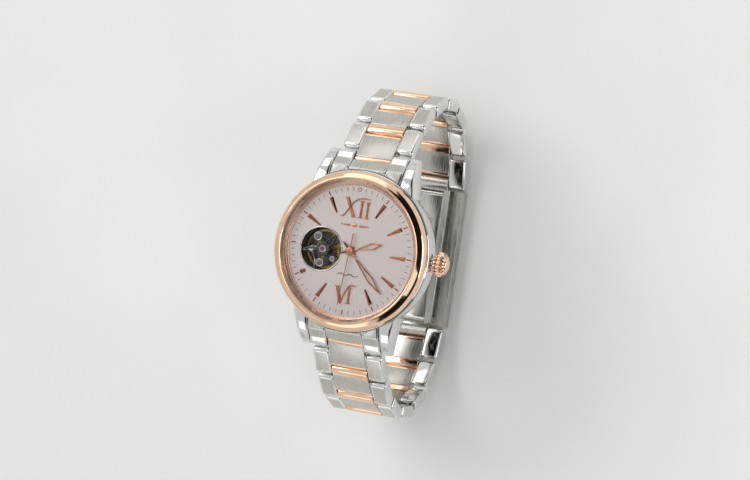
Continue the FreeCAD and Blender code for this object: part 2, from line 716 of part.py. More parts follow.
def escape_wheel():
    outline = []
    step = 360.0 / escape_teeth
    for index in range(escape_teeth):
        middle = step * index
        outline.append(point(middle - 0.30 * step, escape_r * 0.8, escape))
        outline.append(point(middle + 0.02 * step, escape_r * 0.97, escape))
        outline.append(point(middle + 0.16 * step, escape_r, escape))
        outline.append(point(middle + 0.10 * step, escape_r * 0.8, escape))
    wheel = prism(outline, escape_z, escape_z + wheel_t)
    wheel = wheel.cut(joined(windows(0.55, escape_r * 0.66, 4, 8.0, escape_z, escape_z + 1, escape)))
    pinion = toothed(escape_pinion_teeth, escape_pinion_r, fourth_z - 0.12, fourth_z + wheel_t + 0.1, escape,
                     heading(escape, hands), False)
    return joined([wheel, pinion, arbor(escape, bridge_z1 + 0.03, plate_z0 - 0.03)])


def pallet_fork():
    toward = heading(lever, balance)
    low, high = escape_z, escape_z + wheel_t

    def place(along, side):
        return point(toward + math.degrees(math.atan2(side, along)), math.hypot(along, side), lever)

    reach = lever_length - roller_r
    shaft = prism([place(-0.3, 0.22), place(reach - 0.3, 0.12), place(reach - 0.3, -0.12),
                   place(-0.3, -0.22)], low, high)
    horns = [prism([place(reach - 0.35, s * 0.1), place(reach - 0.35, s * 0.34),
                    place(reach - 0.05, s * 0.34), place(reach - 0.05, s * 0.16)], low, high)
             for s in (-1, 1)]
    back = heading(lever, escape) - toward
    arms = []
    for side in (-1, 1):
        angle = back + side * 76.0
        tip = point(angle, 1.0)
        normal = point(angle + 90, 0.17)
        arms.append(prism([place(normal[0], normal[1]), place(tip[0] + normal[0], tip[1] + normal[1]),
                           place(tip[0] - normal[0], tip[1] - normal[1]),
                           place(-normal[0], -normal[1])], low, high))
    top = pallet_bridge_z + 0.2
    staff = joined([disc(arbor_r, bridge_z1 + 0.03, pallet_bridge_z - 0.02, lever),
                    disc(pivot_r, bridge_z1 - 0.27, top, lever)])
    return joined([shaft, staff] + horns + arms)


def balance_wheel():
    low, high = balance_z, balance_z + balance_rim_t
    rim = ring(balance_r - balance_rim_w, balance_r, low, high, balance)
    middle = low + balance_rim_t / 2
    arms = [prism([point(a - 4, balance_r - 0.2, balance), point(a + 4, balance_r - 0.2, balance),
                   point(a + 94, 0.3, balance), point(a - 94, 0.3, balance)], middle - 0.1, middle + 0.1)
            for a in (20, 140, 260)]
    staff = [disc(0.3, bridge_z1 + 0.05, plate_z1 - 0.05, balance),
             disc(pivot_r, bridge_z1 - 0.25, plate_z1 + 0.25, balance),
             disc(roller_r, pallet_bridge_z + 0.05, pallet_bridge_z + 0.2, balance)]
    weights = [disc(0.22, low - 0.12, high + 0.12, point(a, balance_r - balance_rim_w / 2, balance))
               for a in (80, 200, 320)]
    return joined([rim] + arms + staff + weights)


def hairspring():
    return spiral(0.7, balance_r * 0.62, 6, 0.05, balance_z + 0.75, balance_z + 0.95, balance)


# ---- Barrel and winding ----
def barrel_drum():
    teeth = toothed(barrel_teeth, barrel_r, barrel_z, plate_z0 - 0.05, barrel, heading(barrel, hands))
    drum = disc(barrel_r - 0.3, barrel_z, barrel_pocket_z - 0.1, barrel)
    inside = disc(barrel_r - 0.6, barrel_z + 0.25, barrel_pocket_z - 0.3, barrel)
    return joined([teeth, drum]).cut(inside).cut(disc(barrel_arbor_r + run, 0, case_z1, barrel))


def mainspring():
    return spiral(barrel_arbor_r + 0.9, barrel_r - 0.75, 8, 0.13, barrel_z + 0.32, barrel_pocket_z - 0.4,
                  barrel)


def ratchet_wheel():
    wheel = toothed(ratchet_teeth, ratchet_r, ratchet_z0, ratchet_z1, barrel, heading(barrel, crown_wheel))
    shaft = disc(barrel_arbor_r, ratchet_z0, barrel_pocket_z - 0.05, barrel)
    pivot = disc(barrel_arbor_r - 0.2, ratchet_z0, plate_z1 - 0.02, barrel)
    square = disc(0.9, ratchet_z0 - 0.1, ratchet_z0, barrel)
    return joined([wheel, shaft, pivot, square])


def crown_wheel_ring():
    wheel = toothed(crown_wheel_teeth, crown_wheel_r, ratchet_z0, ratchet_z1, crown_wheel,
                    heading(crown_wheel, barrel), False)
    return joined([wheel, disc(post_r, ratchet_z0 - 0.1, bridge_z1, crown_wheel)])


def click():
    low, high = ratchet_z0 + 0.03, ratchet_z1 - 0.03
    toward = heading(click_place, barrel)
    tip = point(toward, math.hypot(click_place[0] - barrel[0], click_place[1] - barrel[1])
                - ratchet_r - 0.2, click_place)
    side = point(toward + 90, 0.4)
    arm = prism([tip, (click_place[0] + side[0], click_place[1] + side[1]),
                 (click_place[0] - side[0], click_place[1] - side[1])], low, high)
    return joined([arm, disc(0.6, low, high, click_place), disc(post_r, low, bridge_z1 - 0.02, click_place)])


def rotor():
    middle = rotor_z0 + rotor_rim_t / 2
    rim_r = back_r - spigot_w - 1.8
    web = sector(2.6, rim_r - 1.0, 180, 360, middle - 0.2, middle + 0.2)
    rim = sector(rim_r - 1.6, rim_r, 180, 360, rotor_z0, rotor_z1)
    hub = disc(3.0, middle - 0.2, middle + 0.3)
    pinion = toothed(rotor_pinion_teeth, rotor_pinion_r, middle, rotor_z1, hands, heading(hands, reversing),
                     False)
    openings = [sector(4.2, rim_r - 2.6, start, start + 24, 0, rotor_z1 + 1)
                for start in (192, 224, 256, 292, 324)]
    body = joined([web, rim, hub, pinion]).cut(joined(openings))
    return body.cut(disc(rotor_post_r + run, 0, case_z1))


def reversing_wheel():
    high = rotor_z1
    low = high - 0.2
    wheel = toothed(reversing_teeth, reversing_r, low, high, reversing, heading(reversing, hands))
    return joined([wheel, disc(post_r, low, bridge_z1 - 0.02, reversing)])


# ---- Crown, stem and keyless works ----
def cog(teeth, pitch_r, x0, x1):
    wheel = toothed(teeth, pitch_r, x0, x1, hands, 0.0)
    wheel.rotate(V(0, 0, 0), V(0, 1, 0), 90)
    wheel.translate(V(0, 0, stem_z))
    return wheel


def winding_pinion():
    return cog(14, winding_pinion_r - 0.1, winding_x0, winding_x1).cut(
        rod(stem_r + run, 0, case_r, 0, stem_z))


def clutch_wheel():
    middle = (clutch_x0 + clutch_x1) / 2
    neck = rod(clutch_r - 0.35, middle - 0.25, middle + 0.25, 0, stem_z)
    body = joined([cog(12, clutch_r - 0.1, clutch_x0, middle - 0.25), neck,
                   cog(14, clutch_r - 0.1, middle + 0.25, clutch_x1)])
    return body.cut(rod(stem_r + run, 0, case_r, 0, stem_z))


def setting_lever():
    low = stem_z + stem_r * 0.7
    arm = block(lever_pivot[0] - 0.15, lever_pivot[0] + 0.15, -0.45, lever_pivot[1], low, low + 0.4)
    foot = disc(0.45, low, low + 0.4, lever_pivot)
    return joined([arm, foot, disc(lever_post_r, low, plate_z0 + 0.4, lever_pivot)])


def winding_stem():
    body = rod(stem_r, stem_block_x + 0.05, case_r + crown_gap + 0.6, 0, stem_z)
    groove = rod(stem_r + 1, lever_x0, lever_x0 + lever_groove_w, 0, stem_z).cut(
        rod(stem_r * 0.6, 0, case_r, 0, stem_z))
    return body.cut(groove)


def crown():
    inner = case_r + crown_gap
    outer = inner + crown_length
    shell = rod(crown_r - 0.15, inner, outer - 0.5, 0, stem_z)
    boss = rod(crown_r * 0.62, outer - 0.5, outer, 0, stem_z)
    flutes = []
    for index in range(crown_flutes):
        y, z = point(360.0 * index / crown_flutes, crown_r - 0.15)
        flutes.append(rod(crown_r * math.pi / crown_flutes * 0.62, inner + 0.35, outer - 0.6, y, stem_z + z))
    body = joined([shell, boss] + flutes)
    room = tube_r + 0.12
    body = body.cut(rod(room, inner - 1, case_r + tube_length + 0.15, 0, stem_z))
    return body.cut(rod(stem_r, inner - 1, case_r + crown_gap + 0.6, 0, stem_z))


# ---- Bracelet, in a frame whose first pin is at (0, 0) and whose next pin is along +Y ----
# A bar along X from a round end about y0 to a square end at y1.
def rounded_bar(half, radius, x0, x1, y0, y1):
    return joined([rod(radius, x0, x1, y0, 0), block(x0, x1, y0, y1, -half, half)])


def link():
    half = link_t / 2
    column = center_w / 2
    side = column + side_gap
    edge = link_w / 2
    start = half + link_gap / 2 + 0.4
    plate_end = link_pitch - half - link_gap
    body = [rounded_bar(half * 0.86, half, -column, column, 0, start),
            block(-column, column, start - 0.2, plate_end, -half, half)]
    for sign in (-1, 1):
        inner, outer = sorted((sign * side, sign * edge))
        wing = block(inner, outer, start, link_pitch, -half, half)
        body += [wing, rod(half, inner, outer, link_pitch, 0)]
    body.append(block(-side - 0.1, side + 0.1, start + 0.1, plate_end - 0.1, -half + 0.1, half - 0.1))
    whole = joined(body).removeSplitter()
    whole = whole.cut(rod(link_pin_r + pin_play, -column - 0.01, column + 0.01))
    whole = whole.cut(rod(link_pin_r, -edge + 0.3, edge - 0.3, link_pitch, 0))
    pin = rod(link_pin_r, -edge + 0.3, edge - 0.3, link_pitch, 0)
    return whole, pin


# Where the pins lie on the 12 o'clock side; the 6 o'clock side is its mirror image.
pins = [(first_pin_y, first_pin_z)]
for slope in link_slopes:
    y, z = pins[-1]
    pins.append((y + link_pitch * math.cos(math.radians(slope)),
                 z - link_pitch * math.sin(math.radians(slope))))


# A link's shape moved to its place; end is 1 on the 12 o'clock side, -1 on the other.
def placed(shape, index, end):
    copy = shape.copy()
    copy.rotate(V(0, 0, 0), V(1, 0, 0), -link_slopes[index])
    copy.translate(V(0, *pins[index]))
    if end < 0:
        copy.rotate(V(0, 0, 0), V(0, 0, 1), 180)
    return copy


def end_links():
    half = link_t / 2
    column = center_w / 2 + side_gap
    edge = lug_gap / 2 - side_gap
    pieces = []
    for end in (1, -1):
        root_y = case_r * 0.8
        front = first_pin_y - half - link_gap
        top_z = case_z1 - 1.1
        slope = [(root_y, top_z), (case_r + 0.4, top_z - 0.9), (front, first_pin_z + half + 1.0),
                 (front, first_pin_z - half + 0.2), (root_y, back_t + 0.4)]
        middle = side_prism(slope, -column - 0.1, column + 0.1)
        body = [middle]
        for sign in (-1, 1):
            inner, outer = sorted((sign * column, sign * edge))
            ear = side_prism(slope[:2] + [(first_pin_y, first_pin_z + half + 0.3),
                                          (first_pin_y, first_pin_z - half), (front, first_pin_z - half),
                                          (root_y, back_t + 0.4)], inner, outer)
            body += [ear, rod(half, inner, outer, first_pin_y, first_pin_z)]
        whole = joined(body).removeSplitter()
        if end < 0:
            whole.rotate(V(0, 0, 0), V(0, 0, 1), 180)
        whole = whole.cut(disc(case_r + 0.02, 0, bezel_z1))
        pieces.append(whole.cut(rod(link_pin_r, -edge, edge, end * first_pin_y, first_pin_z)))
    return pieces


def spring_bars():
    bars = []
    for end in (1, -1):
        body = lug_gap / 2 - side_gap
        middle = rod(link_pin_r, -body, body, end * first_pin_y, first_pin_z)
        tips = rod(spring_tip_r, -body - 1.2, body + 1.2, end * first_pin_y, first_pin_z)
        bars.append(joined([middle, tips]))
    return bars


# ---- Clasp ----
end_y, end_z = pins[-1]
hinge_y = end_y - link_t / 2 - link_gap - clasp_room
hinge_z = end_z - clasp_drop
blade_z1 = hinge_z + 0.7 + clasp_t
rail_x = tongue_w / 2 + 0.3


# Outer blade: two rails from the 12 o'clock chain's last pin to the hinge at the other end.
def clasp_frame():
    half = link_t / 2 - 0.1
    column = center_w / 2
    low = blade_z1 - clasp_t
    knuckle = rod(half, -column, column, end_y, end_z)
    web = block(-column, column, hinge_y + 0.8, end_y, low, blade_z1)
    body = [knuckle, web]
    for sign in (-1, 1):
        inner, outer = sorted((sign * rail_x, sign * (rail_x + rail_w)))
        body.append(block(inner, outer, -hinge_y - 0.6, hinge_y + 1.0, low, blade_z1))
        body.append(rod(0.75, inner, outer, -hinge_y, hinge_z))
        body.append(block(inner, outer, -hinge_y - 0.6, -hinge_y + 0.6, hinge_z, low + 0.1))
    whole = joined(body).removeSplitter()
    whole = whole.cut(rod(link_pin_r + pin_play, -column - 1, column + 1, end_y, end_z))
    reach = rail_x + rail_w
    pin = rod(0.3, -reach, reach, -hinge_y, hinge_z)
    return whole.cut(pin), pin


# Inner blade between the frame's hinge and the cover's hinge.
def clasp_tongue():
    half = tongue_w / 2
    low, high = hinge_z - clasp_t / 2, hinge_z + clasp_t / 2
    body = [block(-half, half, -hinge_y, hinge_y, low, high)]
    for sign in (-1, 1):
        body.append(rod(0.6, -half, half, sign * hinge_y, hinge_z))
    whole = joined(body).removeSplitter()
    whole = whole.cut(rod(0.3 + pin_play, -half - 1, half + 1, -hinge_y, hinge_z))
    pin = rod(0.3, -half - 1.2, half + 1.2, hinge_y, hinge_z)
    slot = block(-half * 0.55, half * 0.55, -hinge_y * 0.6, hinge_y * 0.6, low - 1, high + 1)
    return whole.cut(pin).cut(slot), pin


# Cover plate with side walls; its knuckle meets the 6 o'clock chain's last pin.
def clasp_cover():
    column = center_w / 2
    edge = link_w / 2
    cover_z1 = hinge_z - 0.8
    low = cover_z1 - cover_t
    length = end_y - link_t / 2 - link_gap
    body = [block(-edge, edge, -length, length, low, cover_z1)]
    for sign in (-1, 1):
        inner, outer = sorted((sign * edge, sign * (edge - cover_wall)))
        body.append(block(inner, outer, -length, length, low, blade_z1 - 0.2))
        ear0, ear1 = sorted((sign * (tongue_w / 2 + 0.1), sign * (tongue_w / 2 + 1.0)))
        body.append(joined([block(ear0, ear1, hinge_y - 0.6, hinge_y + 0.6, low + 0.1, hinge_z),
                            rod(0.6, ear0, ear1, hinge_y, hinge_z)]))
    body.append(rod(link_t / 2 - 0.1, -column, column, -end_y, end_z))
    body.append(block(-column, column, -end_y - 0.6, -length + 0.5, low, cover_z1))
    body.append(block(-column, column, -end_y - 0.6, -length, low, end_z))
    whole = joined(body).removeSplitter()
    whole = whole.cut(rod(0.3 + pin_play, -tongue_w, tongue_w, hinge_y, hinge_z))
    bar = rod(link_pin_r, -column + 0.05, column - 0.05, -end_y, end_z)
    return whole.cut(bar), bar


# ---- Write every piece ----
cannon_z1 = minute_hand_z + hand_t - 0.02

save("case_middle", case_middle())
save("bezel", bezel())
save("crystal", crystal())
save("case_gaskets", *case_gaskets())
save("rehaut_ring", rehaut_ring())
save("dial", dial())
save("hour_markers", hour_markers())
save("case_back", case_back())
save("case_back_crystal", disc(back_glass_r, 0, back_t))
save("movement_holder", movement_holder())
save("main_plate", main_plate())
save("train_bridge", train_bridge())
save("balance_bridge", balance_bridge())
save("pallet_bridge", pallet_bridge())
save("bearing_jewels", *bearing_jewels())
save("movement_screws", *movement_screws())
save("seconds_hand", seconds_hand())
save("minute_hand", minute_hand())
save("hour_hand", hour_hand())
save("fourth_wheel", fourth_wheel())
save("center_wheel", center_wheel())
save("cannon_pinion", cannon_pinion())
save("minute_wheel", minute_wheel())
save("hour_wheel", hour_wheel())
save("third_wheel", third_wheel())
save("escape_wheel", escape_wheel())
save("pallet_fork", pallet_fork())
save("balance_wheel", balance_wheel())
save("hairspring", hairspring())
save("barrel", barrel_drum())
save("mainspring", mainspring())
save("ratchet_wheel", ratchet_wheel())
save("crown_wheel", crown_wheel_ring())
save("click", click())
save("rotor", rotor())
save("reversing_wheel", reversing_wheel())
save("winding_pinion", winding_pinion())
save("clutch_wheel", clutch_wheel())
save("setting_lever", setting_lever())
save("winding_stem", winding_stem())
save("crown", crown())
save("end_links", *end_links())
save("spring_bars", *spring_bars())
link_body, link_pin = link()
for end, name in ((1, "12"), (-1, "6")):
    for index in range(len(link_slopes)):
        pieces = [placed(link_body, index, end)]
        if name == "12" or index < len(link_slopes) - 1:
            pieces.append(placed(link_pin, index, end))
        save("link_%s_%d" % (name, index + 1), *pieces)
save("clasp_frame", *clasp_frame())
save("clasp_tongue", *clasp_tongue())
save("clasp_cover", *clasp_cover())
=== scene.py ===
import bpy
import bmesh
import json
import math
import numpy as np
from mathutils import Matrix, Vector


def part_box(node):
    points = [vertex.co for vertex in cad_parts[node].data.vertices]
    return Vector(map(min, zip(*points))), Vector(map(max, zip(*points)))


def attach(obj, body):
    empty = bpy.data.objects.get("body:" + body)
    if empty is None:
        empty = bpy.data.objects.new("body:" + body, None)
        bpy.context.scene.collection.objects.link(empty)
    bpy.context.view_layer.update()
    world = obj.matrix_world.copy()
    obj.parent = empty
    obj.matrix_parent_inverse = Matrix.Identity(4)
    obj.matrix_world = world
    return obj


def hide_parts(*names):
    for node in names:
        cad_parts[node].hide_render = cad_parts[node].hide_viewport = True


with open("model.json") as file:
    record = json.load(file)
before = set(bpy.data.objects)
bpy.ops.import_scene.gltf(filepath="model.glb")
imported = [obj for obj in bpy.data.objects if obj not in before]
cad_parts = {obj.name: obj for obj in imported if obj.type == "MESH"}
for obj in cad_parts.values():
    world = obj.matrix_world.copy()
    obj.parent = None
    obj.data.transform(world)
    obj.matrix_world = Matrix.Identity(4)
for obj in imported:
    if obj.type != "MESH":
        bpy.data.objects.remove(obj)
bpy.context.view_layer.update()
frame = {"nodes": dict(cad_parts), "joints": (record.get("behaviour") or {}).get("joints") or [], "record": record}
print("frame loaded:", len(frame["nodes"]), "nodes")

# Shapes below are worked out in millimetres; addPiece turns them to metres.
metre = 0.001
jointPlace = {j["name"]: np.array(j.get("pos_m", (0, 0, 0))) / metre for j in frame["joints"]}


# Quads of a grid of rows and columns; either direction can close on itself.
def gridFaces(rows, cols, closeRows=False, closeCols=True):
    r, c = np.meshgrid(np.arange(rows if closeRows else rows - 1),
                       np.arange(cols if closeCols else cols - 1), indexing="ij")
    rn, cn = (r + 1) % rows, (c + 1) % cols
    quads = np.stack([r * cols + c, r * cols + cn, rn * cols + cn, rn * cols + c], axis=-1)
    return quads.reshape(-1, 4)


def gridPart(grid, closeRows=False, closeCols=True, finish=0):
    rows, cols = grid.shape[:2]
    faces = gridFaces(rows, cols, closeRows, closeCols)
    return grid.reshape(-1, 3), faces, np.full(len(faces), finish)


# A profile of (radius, height) turned once round an upright axis at centre.
def turnedPart(profile, centre=(0.0, 0.0), steps=128, finish=0):
    profile = np.asarray(profile, float)
    turn = np.linspace(0, 2 * np.pi, steps, endpoint=False)
    grid = np.empty((len(profile), steps, 3))
    grid[..., 0] = centre[0] + profile[:, :1] * np.cos(turn)
    grid[..., 1] = centre[1] + profile[:, :1] * np.sin(turn)
    grid[..., 2] = profile[:, 1:]
    return gridPart(grid, finish=finish)


# A closed outline whose corners are turned into arcs; each corner has its own radius.
def roundedOutline(corners, radii, steps=4):
    corners = np.asarray(corners, float)
    radii = np.broadcast_to(np.asarray(radii, float), len(corners))
    points = []
    for index, corner in enumerate(corners):
        back, ahead = corners[index - 1] - corner, corners[(index + 1) % len(corners)] - corner
        backLength, aheadLength = np.linalg.norm(back), np.linalg.norm(ahead)
        back, ahead = back / backLength, ahead / aheadLength
        half = math.acos(np.clip(back @ ahead, -1, 1)) / 2
        reach = min(radii[index] / math.tan(half), backLength * 0.49, aheadLength * 0.49)
        radius = reach * math.tan(half)
        centre = corner + (back + ahead) / np.linalg.norm(back + ahead) * radius / math.sin(half)
        first, last = corner + back * reach - centre, corner + ahead * reach - centre
        angle = math.atan2(first[0] * last[1] - first[1] * last[0], first @ last)
        for turn in np.linspace(0, angle, steps + 1):
            cos, sin = math.cos(turn), math.sin(turn)
            points.append(centre + [first[0] * cos - first[1] * sin, first[0] * sin + first[1] * cos])
    return np.array(points)


# The same outline moved inwards by a distance, each point along the mean of its two edge normals.
def pulledIn(outline, distance):
    before, after = np.roll(outline, 1, axis=0), np.roll(outline, -1, axis=0)
    first, second = outline - before, after - outline
    area = (outline[:, 0] * after[:, 1] - after[:, 0] * outline[:, 1]).sum()
    normal = first / np.linalg.norm(first, axis=1)[:, None]
    normal = normal + second / np.linalg.norm(second, axis=1)[:, None]
    normal = np.stack([-normal[:, 1], normal[:, 0]], axis=-1) * np.sign(area)
    return outline + normal / np.linalg.norm(normal, axis=1)[:, None] * distance


# A bar along the first axis with the outline as its section; both end edges are quarter rounds.
def barPart(outline, x0, x1, edge, steps=3, spans=1, finish=0, topFinish=None):
    turn = np.linspace(0, np.pi / 2, steps + 1)
    inset = edge * (1 - np.sin(turn))
    rise = edge * (1 - np.cos(turn))
    middle = np.linspace(x0 + edge, x1 - edge, spans + 1)[1:-1]
    along = np.concatenate([x0 + rise, middle, (x1 - rise)[::-1]])
    pulls = np.concatenate([inset, np.zeros(len(middle)), inset[::-1]])
    grid = np.empty((len(along), len(outline), 3))
    for row, (x, pull) in enumerate(zip(along, pulls)):
        grid[row, :, 0] = x
        grid[row, :, 1:] = pulledIn(outline, pull)
    verts, faces, finishes = gridPart(grid, finish=finish)
    count = len(outline)
    caps = np.array([np.arange(count), (len(along) - 1) * count + np.arange(count)])
    if topFinish is not None:
        corners = verts[faces]
        top = outline[:, 1].max() - 0.012
        flat = (corners[..., 2].min(axis=1) > top) & (corners[..., 0].min(axis=1) > x0 + edge - 1e-6)
        finishes[flat & (corners[..., 0].max(axis=1) < x1 - edge + 1e-6)] = topFinish
    return verts, faces, finishes, caps


# A flat outline raised to a ridge or a flat top: the outline, the same pulled in, and the top.
def facetPart(outline, spine, z0, z1, bevel=0.15, finish=0):
    outline, spine = np.asarray(outline, float), np.asarray(spine, float)
    grid = np.empty((4, len(outline), 3))
    grid[0, :, :2], grid[0, :, 2] = spine, z0
    grid[1, :, :2], grid[1, :, 2] = outline, z0
    grid[2, :, :2], grid[2, :, 2] = outline, z0 + (z1 - z0) * bevel
    grid[3, :, :2], grid[3, :, 2] = spine, z1
    return gridPart(grid, finish=finish)


# A section of (across, up) carried along a path in the plane at height z; across is square to the path.
def carriedPart(path, section, z, closed=False, taper=None, finish=0):
    path, section = np.asarray(path, float), np.asarray(section, float)
    if closed:
        ahead, behind = np.roll(path, -1, axis=0), np.roll(path, 1, axis=0)
        first = (path - behind) / np.linalg.norm(path - behind, axis=1)[:, None]
        second = (ahead - path) / np.linalg.norm(ahead - path, axis=1)[:, None]
        tangent = first + second
        tangent /= np.linalg.norm(tangent, axis=1)[:, None]
        stretch = 1 / np.clip((tangent * second).sum(axis=1), 0.4, 1)
    else:
        tangent = np.gradient(path, axis=0)
        tangent /= np.linalg.norm(tangent, axis=1)[:, None]
        stretch = np.ones(len(path))
    normal = np.stack([-tangent[:, 1], tangent[:, 0]], axis=-1)
    scale = np.ones(len(path)) if taper is None else np.asarray(taper, float)
    across = section[None, :, 0] * (stretch * scale)[:, None]
    grid = np.empty((len(path), len(section), 3))
    grid[..., :2] = path[:, None, :] + normal[:, None, :] * across[..., None]
    grid[..., 2] = z + section[None, :, 1]
    verts, faces, finishes = gridPart(grid, closeRows=closed, finish=finish)
    if closed:
        return verts, faces, finishes
    count = len(section)
    caps = np.array([np.arange(count), (len(path) - 1) * count + np.arange(count)])
    return verts, faces, finishes, caps


# A ball, or part of one squashed along its axis, as rings from pole to pole.
def domePart(centre, radius, z0, height, steps=32, rings=10, finish=0):
    turn = np.linspace(0, np.pi / 2, rings)
    profile = np.stack([radius * np.cos(turn), z0 + height * np.sin(turn)], axis=-1)
    profile = np.concatenate([[[0.0, z0]], profile])
    return turnedPart(profile, centre, steps, finish)


def moved(part, place):
    return (place(part[0]),) + tuple(part[1:])


# Joins the parts, makes the mesh in metres, closes its poles, turns it outwards and rides it on its body.
def addPiece(name, body, parts, materials, sharp=32.0, replaced=()):
    verts, faces, finishes, start = [], [], [], 0
    for part in parts:
        verts.append(part[0])
        faces.extend((part[1] + start).tolist())
        finishes.extend(part[2].tolist())
        if len(part) > 3:
            faces.extend((part[3] + start).tolist())
            finishes.extend([int(part[2][0])] * len(part[3]))
        start += len(part[0])
    mesh = bpy.data.meshes.new(name)
    mesh.from_pydata((np.concatenate(verts) * metre).tolist(), [], faces)
    for material in materials:
        mesh.materials.append(material)
    mesh.polygons.foreach_set("material_index", finishes)
    tidyMesh(mesh, sharp)
    piece = bpy.data.objects.new(name, mesh)
    bpy.context.scene.collection.objects.link(piece)
    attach(piece, body)
    if replaced:
        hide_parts(*replaced)
    return piece


mergeReach = 2e-6                                              # corners this near are one, in metres


def tidyMesh(mesh, sharp):
    work = bmesh.new()
    work.from_mesh(mesh)
    bmesh.ops.remove_doubles(work, verts=work.verts, dist=mergeReach)
    bmesh.ops.dissolve_degenerate(work, edges=work.edges, dist=mergeReach)
    bmesh.ops.recalc_face_normals(work, faces=work.faces)
    work.to_mesh(mesh)
    work.free()
    mesh.shade_smooth()
    mesh.set_sharp_from_angle(angle=math.radians(sharp))


def softEdges(piece, width):
    bevel = piece.modifiers.new("softEdges", "BEVEL")
    bevel.width = width * metre
    bevel.segments = 2
    bevel.limit_method = "ANGLE"
    bevel.angle_limit = math.radians(30)
    return bevel


bodyOf = {node: body for body, nodes in frame["record"]["behaviour"]["bodies"].items() for node in nodes}


# A copy of a frame node whose sharp edges are broken, as machining and polishing leave them.
def softened(node, material, edgeMaterial, width):
    source = frame["nodes"][node]
    mesh = source.data.copy()
    mesh.transform(source.matrix_world)
    work = bmesh.new()
    work.from_mesh(mesh)
    bmesh.ops.remove_doubles(work, verts=work.verts, dist=mergeReach)
    bmesh.ops.dissolve_limit(work, angle_limit=math.radians(0.5), verts=work.verts, edges=work.edges)
    work.to_mesh(mesh)
    work.free()
    mesh.materials.clear()
    mesh.materials.append(material)
    if edgeMaterial:
        mesh.materials.append(edgeMaterial)
    mesh.shade_smooth()
    mesh.set_sharp_from_angle(angle=math.radians(30))
    words = node.split("_")
    piece = bpy.data.objects.new(words[0] + "".join(word.title() for word in words[1:]) + "Piece", mesh)
    bpy.context.scene.collection.objects.link(piece)
    softEdges(piece, width).material = 1 if edgeMaterial else -1
    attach(piece, bodyOf[node])
    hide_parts(node)
    return piece


# An sRGB hex colour as linear values.
def linear(code):
    parts = [int(code[i:i + 2], 16) / 255 for i in (1, 3, 5)]
    return tuple(p / 12.92 if p <= 0.04045 else ((p + 0.055) / 1.055) ** 2.4 for p in parts) + (1.0,)


# Adds one node with its settings, by property or socket, and its links.
def addNode(tree, kind, settings=(), links=()):
    node = tree.nodes.new(kind)
    for key, value in dict(settings).items():
        if isinstance(key, str) and hasattr(node, key):
            setattr(node, key, value)
        else:
            node.inputs[key].default_value = value
    for key, source in dict(links).items():
        tree.links.new(source, node.inputs[key])
    return node


def newMaterial(name, settings):
    material = bpy.data.materials.new(name)
    material.use_nodes = True
    tree = material.node_tree
    tree.nodes.clear()
    shader = addNode(tree, "ShaderNodeBsdfPrincipled", settings)
    addNode(tree, "ShaderNodeOutputMaterial", {}, {"Surface": shader.outputs[0]})
    return material, tree, shader


# Maps a noise to a range and feeds it to a socket of the shader.
def variation(tree, source, low, high, target, fromLow=0.3, fromHigh=0.7):
    spread = addNode(tree, "ShaderNodeMapRange", {"From Min": fromLow, "From Max": fromHigh,
                                                  "To Min": low, "To Max": high}, {"Value": source})
    tree.links.new(spread.outputs[0], target)


# Runs a noise through two colours into a socket.
def tinted(tree, source, first, second, target, low=0.3, high=0.7):
    ramp = addNode(tree, "ShaderNodeValToRGB", {}, {"Fac": source})
    ramp.color_ramp.elements[0].position, ramp.color_ramp.elements[1].position = low, high
    ramp.color_ramp.elements[0].color, ramp.color_ramp.elements[1].color = linear(first), linear(second)
    tree.links.new(ramp.outputs[0], target)


# Noise on the piece's own coordinates, stretched and turned first.
def objectNoise(tree, stretch, scale, detail=3.0, turn=(0, 0, 0)):
    place = addNode(tree, "ShaderNodeTexCoord")
    mapping = addNode(tree, "ShaderNodeMapping", {"Scale": stretch, "Rotation": turn},
                      {"Vector": place.outputs["Object"]})
    return addNode(tree, "ShaderNodeTexNoise", {"Scale": scale, "Detail": detail},
                   {"Vector": mapping.outputs[0]}).outputs[0]


def bumped(tree, shader, source, strength, distance):
    bump = addNode(tree, "ShaderNodeBump", {"Strength": strength, "Distance": distance}, {"Height": source})
    tree.links.new(bump.outputs[0], shader.inputs["Normal"])


# Mirror-polished metal: clean reflections with faint wipe marks a few millimetres long.
def polishedMetal(name, light, dark, roughness):
    material, tree, shader = newMaterial(name, {"Metallic": 1.0, "Roughness": roughness})
    cloud = objectNoise(tree, (1, 1, 1), 260.0)
    tinted(tree, cloud, dark, light, shader.inputs["Base Color"])
    wipes = objectNoise(tree, (1, 0.25, 0.6), 1400.0, 4.0, (0.3, 0.2, 0.7))
    variation(tree, wipes, roughness * 0.8, roughness * 1.7, shader.inputs["Roughness"])
    bumped(tree, shader, wipes, 0.04, 0.00002)
    return material


# Line-brushed metal: fine scratches along the bracelet, drawn about 7 to the millimetre so that they show.
def brushedMetal(name, light, dark, roughness, stretch=(1, 0.03, 0.03), scale=7000.0):
    material, tree, shader = newMaterial(name, {"Metallic": 1.0, "Roughness": roughness})
    lines = objectNoise(tree, stretch, scale, 5.0)
    tinted(tree, lines, dark, light, shader.inputs["Base Color"])
    variation(tree, lines, roughness * 0.75, roughness * 1.35, shader.inputs["Roughness"])
    bumped(tree, shader, lines, 0.12, 0.00002)
    return material


steel = {"polished": ("#E9E8E6", "#DAD9D8", 0.07), "brushed": ("#D2CFCA", "#BBB8B3", 0.28)}
gold = {"polished": ("#F8DAC0", "#F0CAAC", 0.08), "satin": ("#DDA283", "#BC8063", 0.22)}

# Stainless steel 316L, mirror polished: the lugs, case side and the sides of the outer links.
polishedSteel = polishedMetal("polishedStainlessSteel", *steel["polished"])
# The same steel, line brushed: tops of the links and the end links.
brushedSteel = brushedMetal("brushedStainlessSteel", *steel["brushed"])
# Rose-gold plating over polished steel: warm pink mirror.
roseGold = polishedMetal("polishedRoseGoldPlate", *gold["polished"])
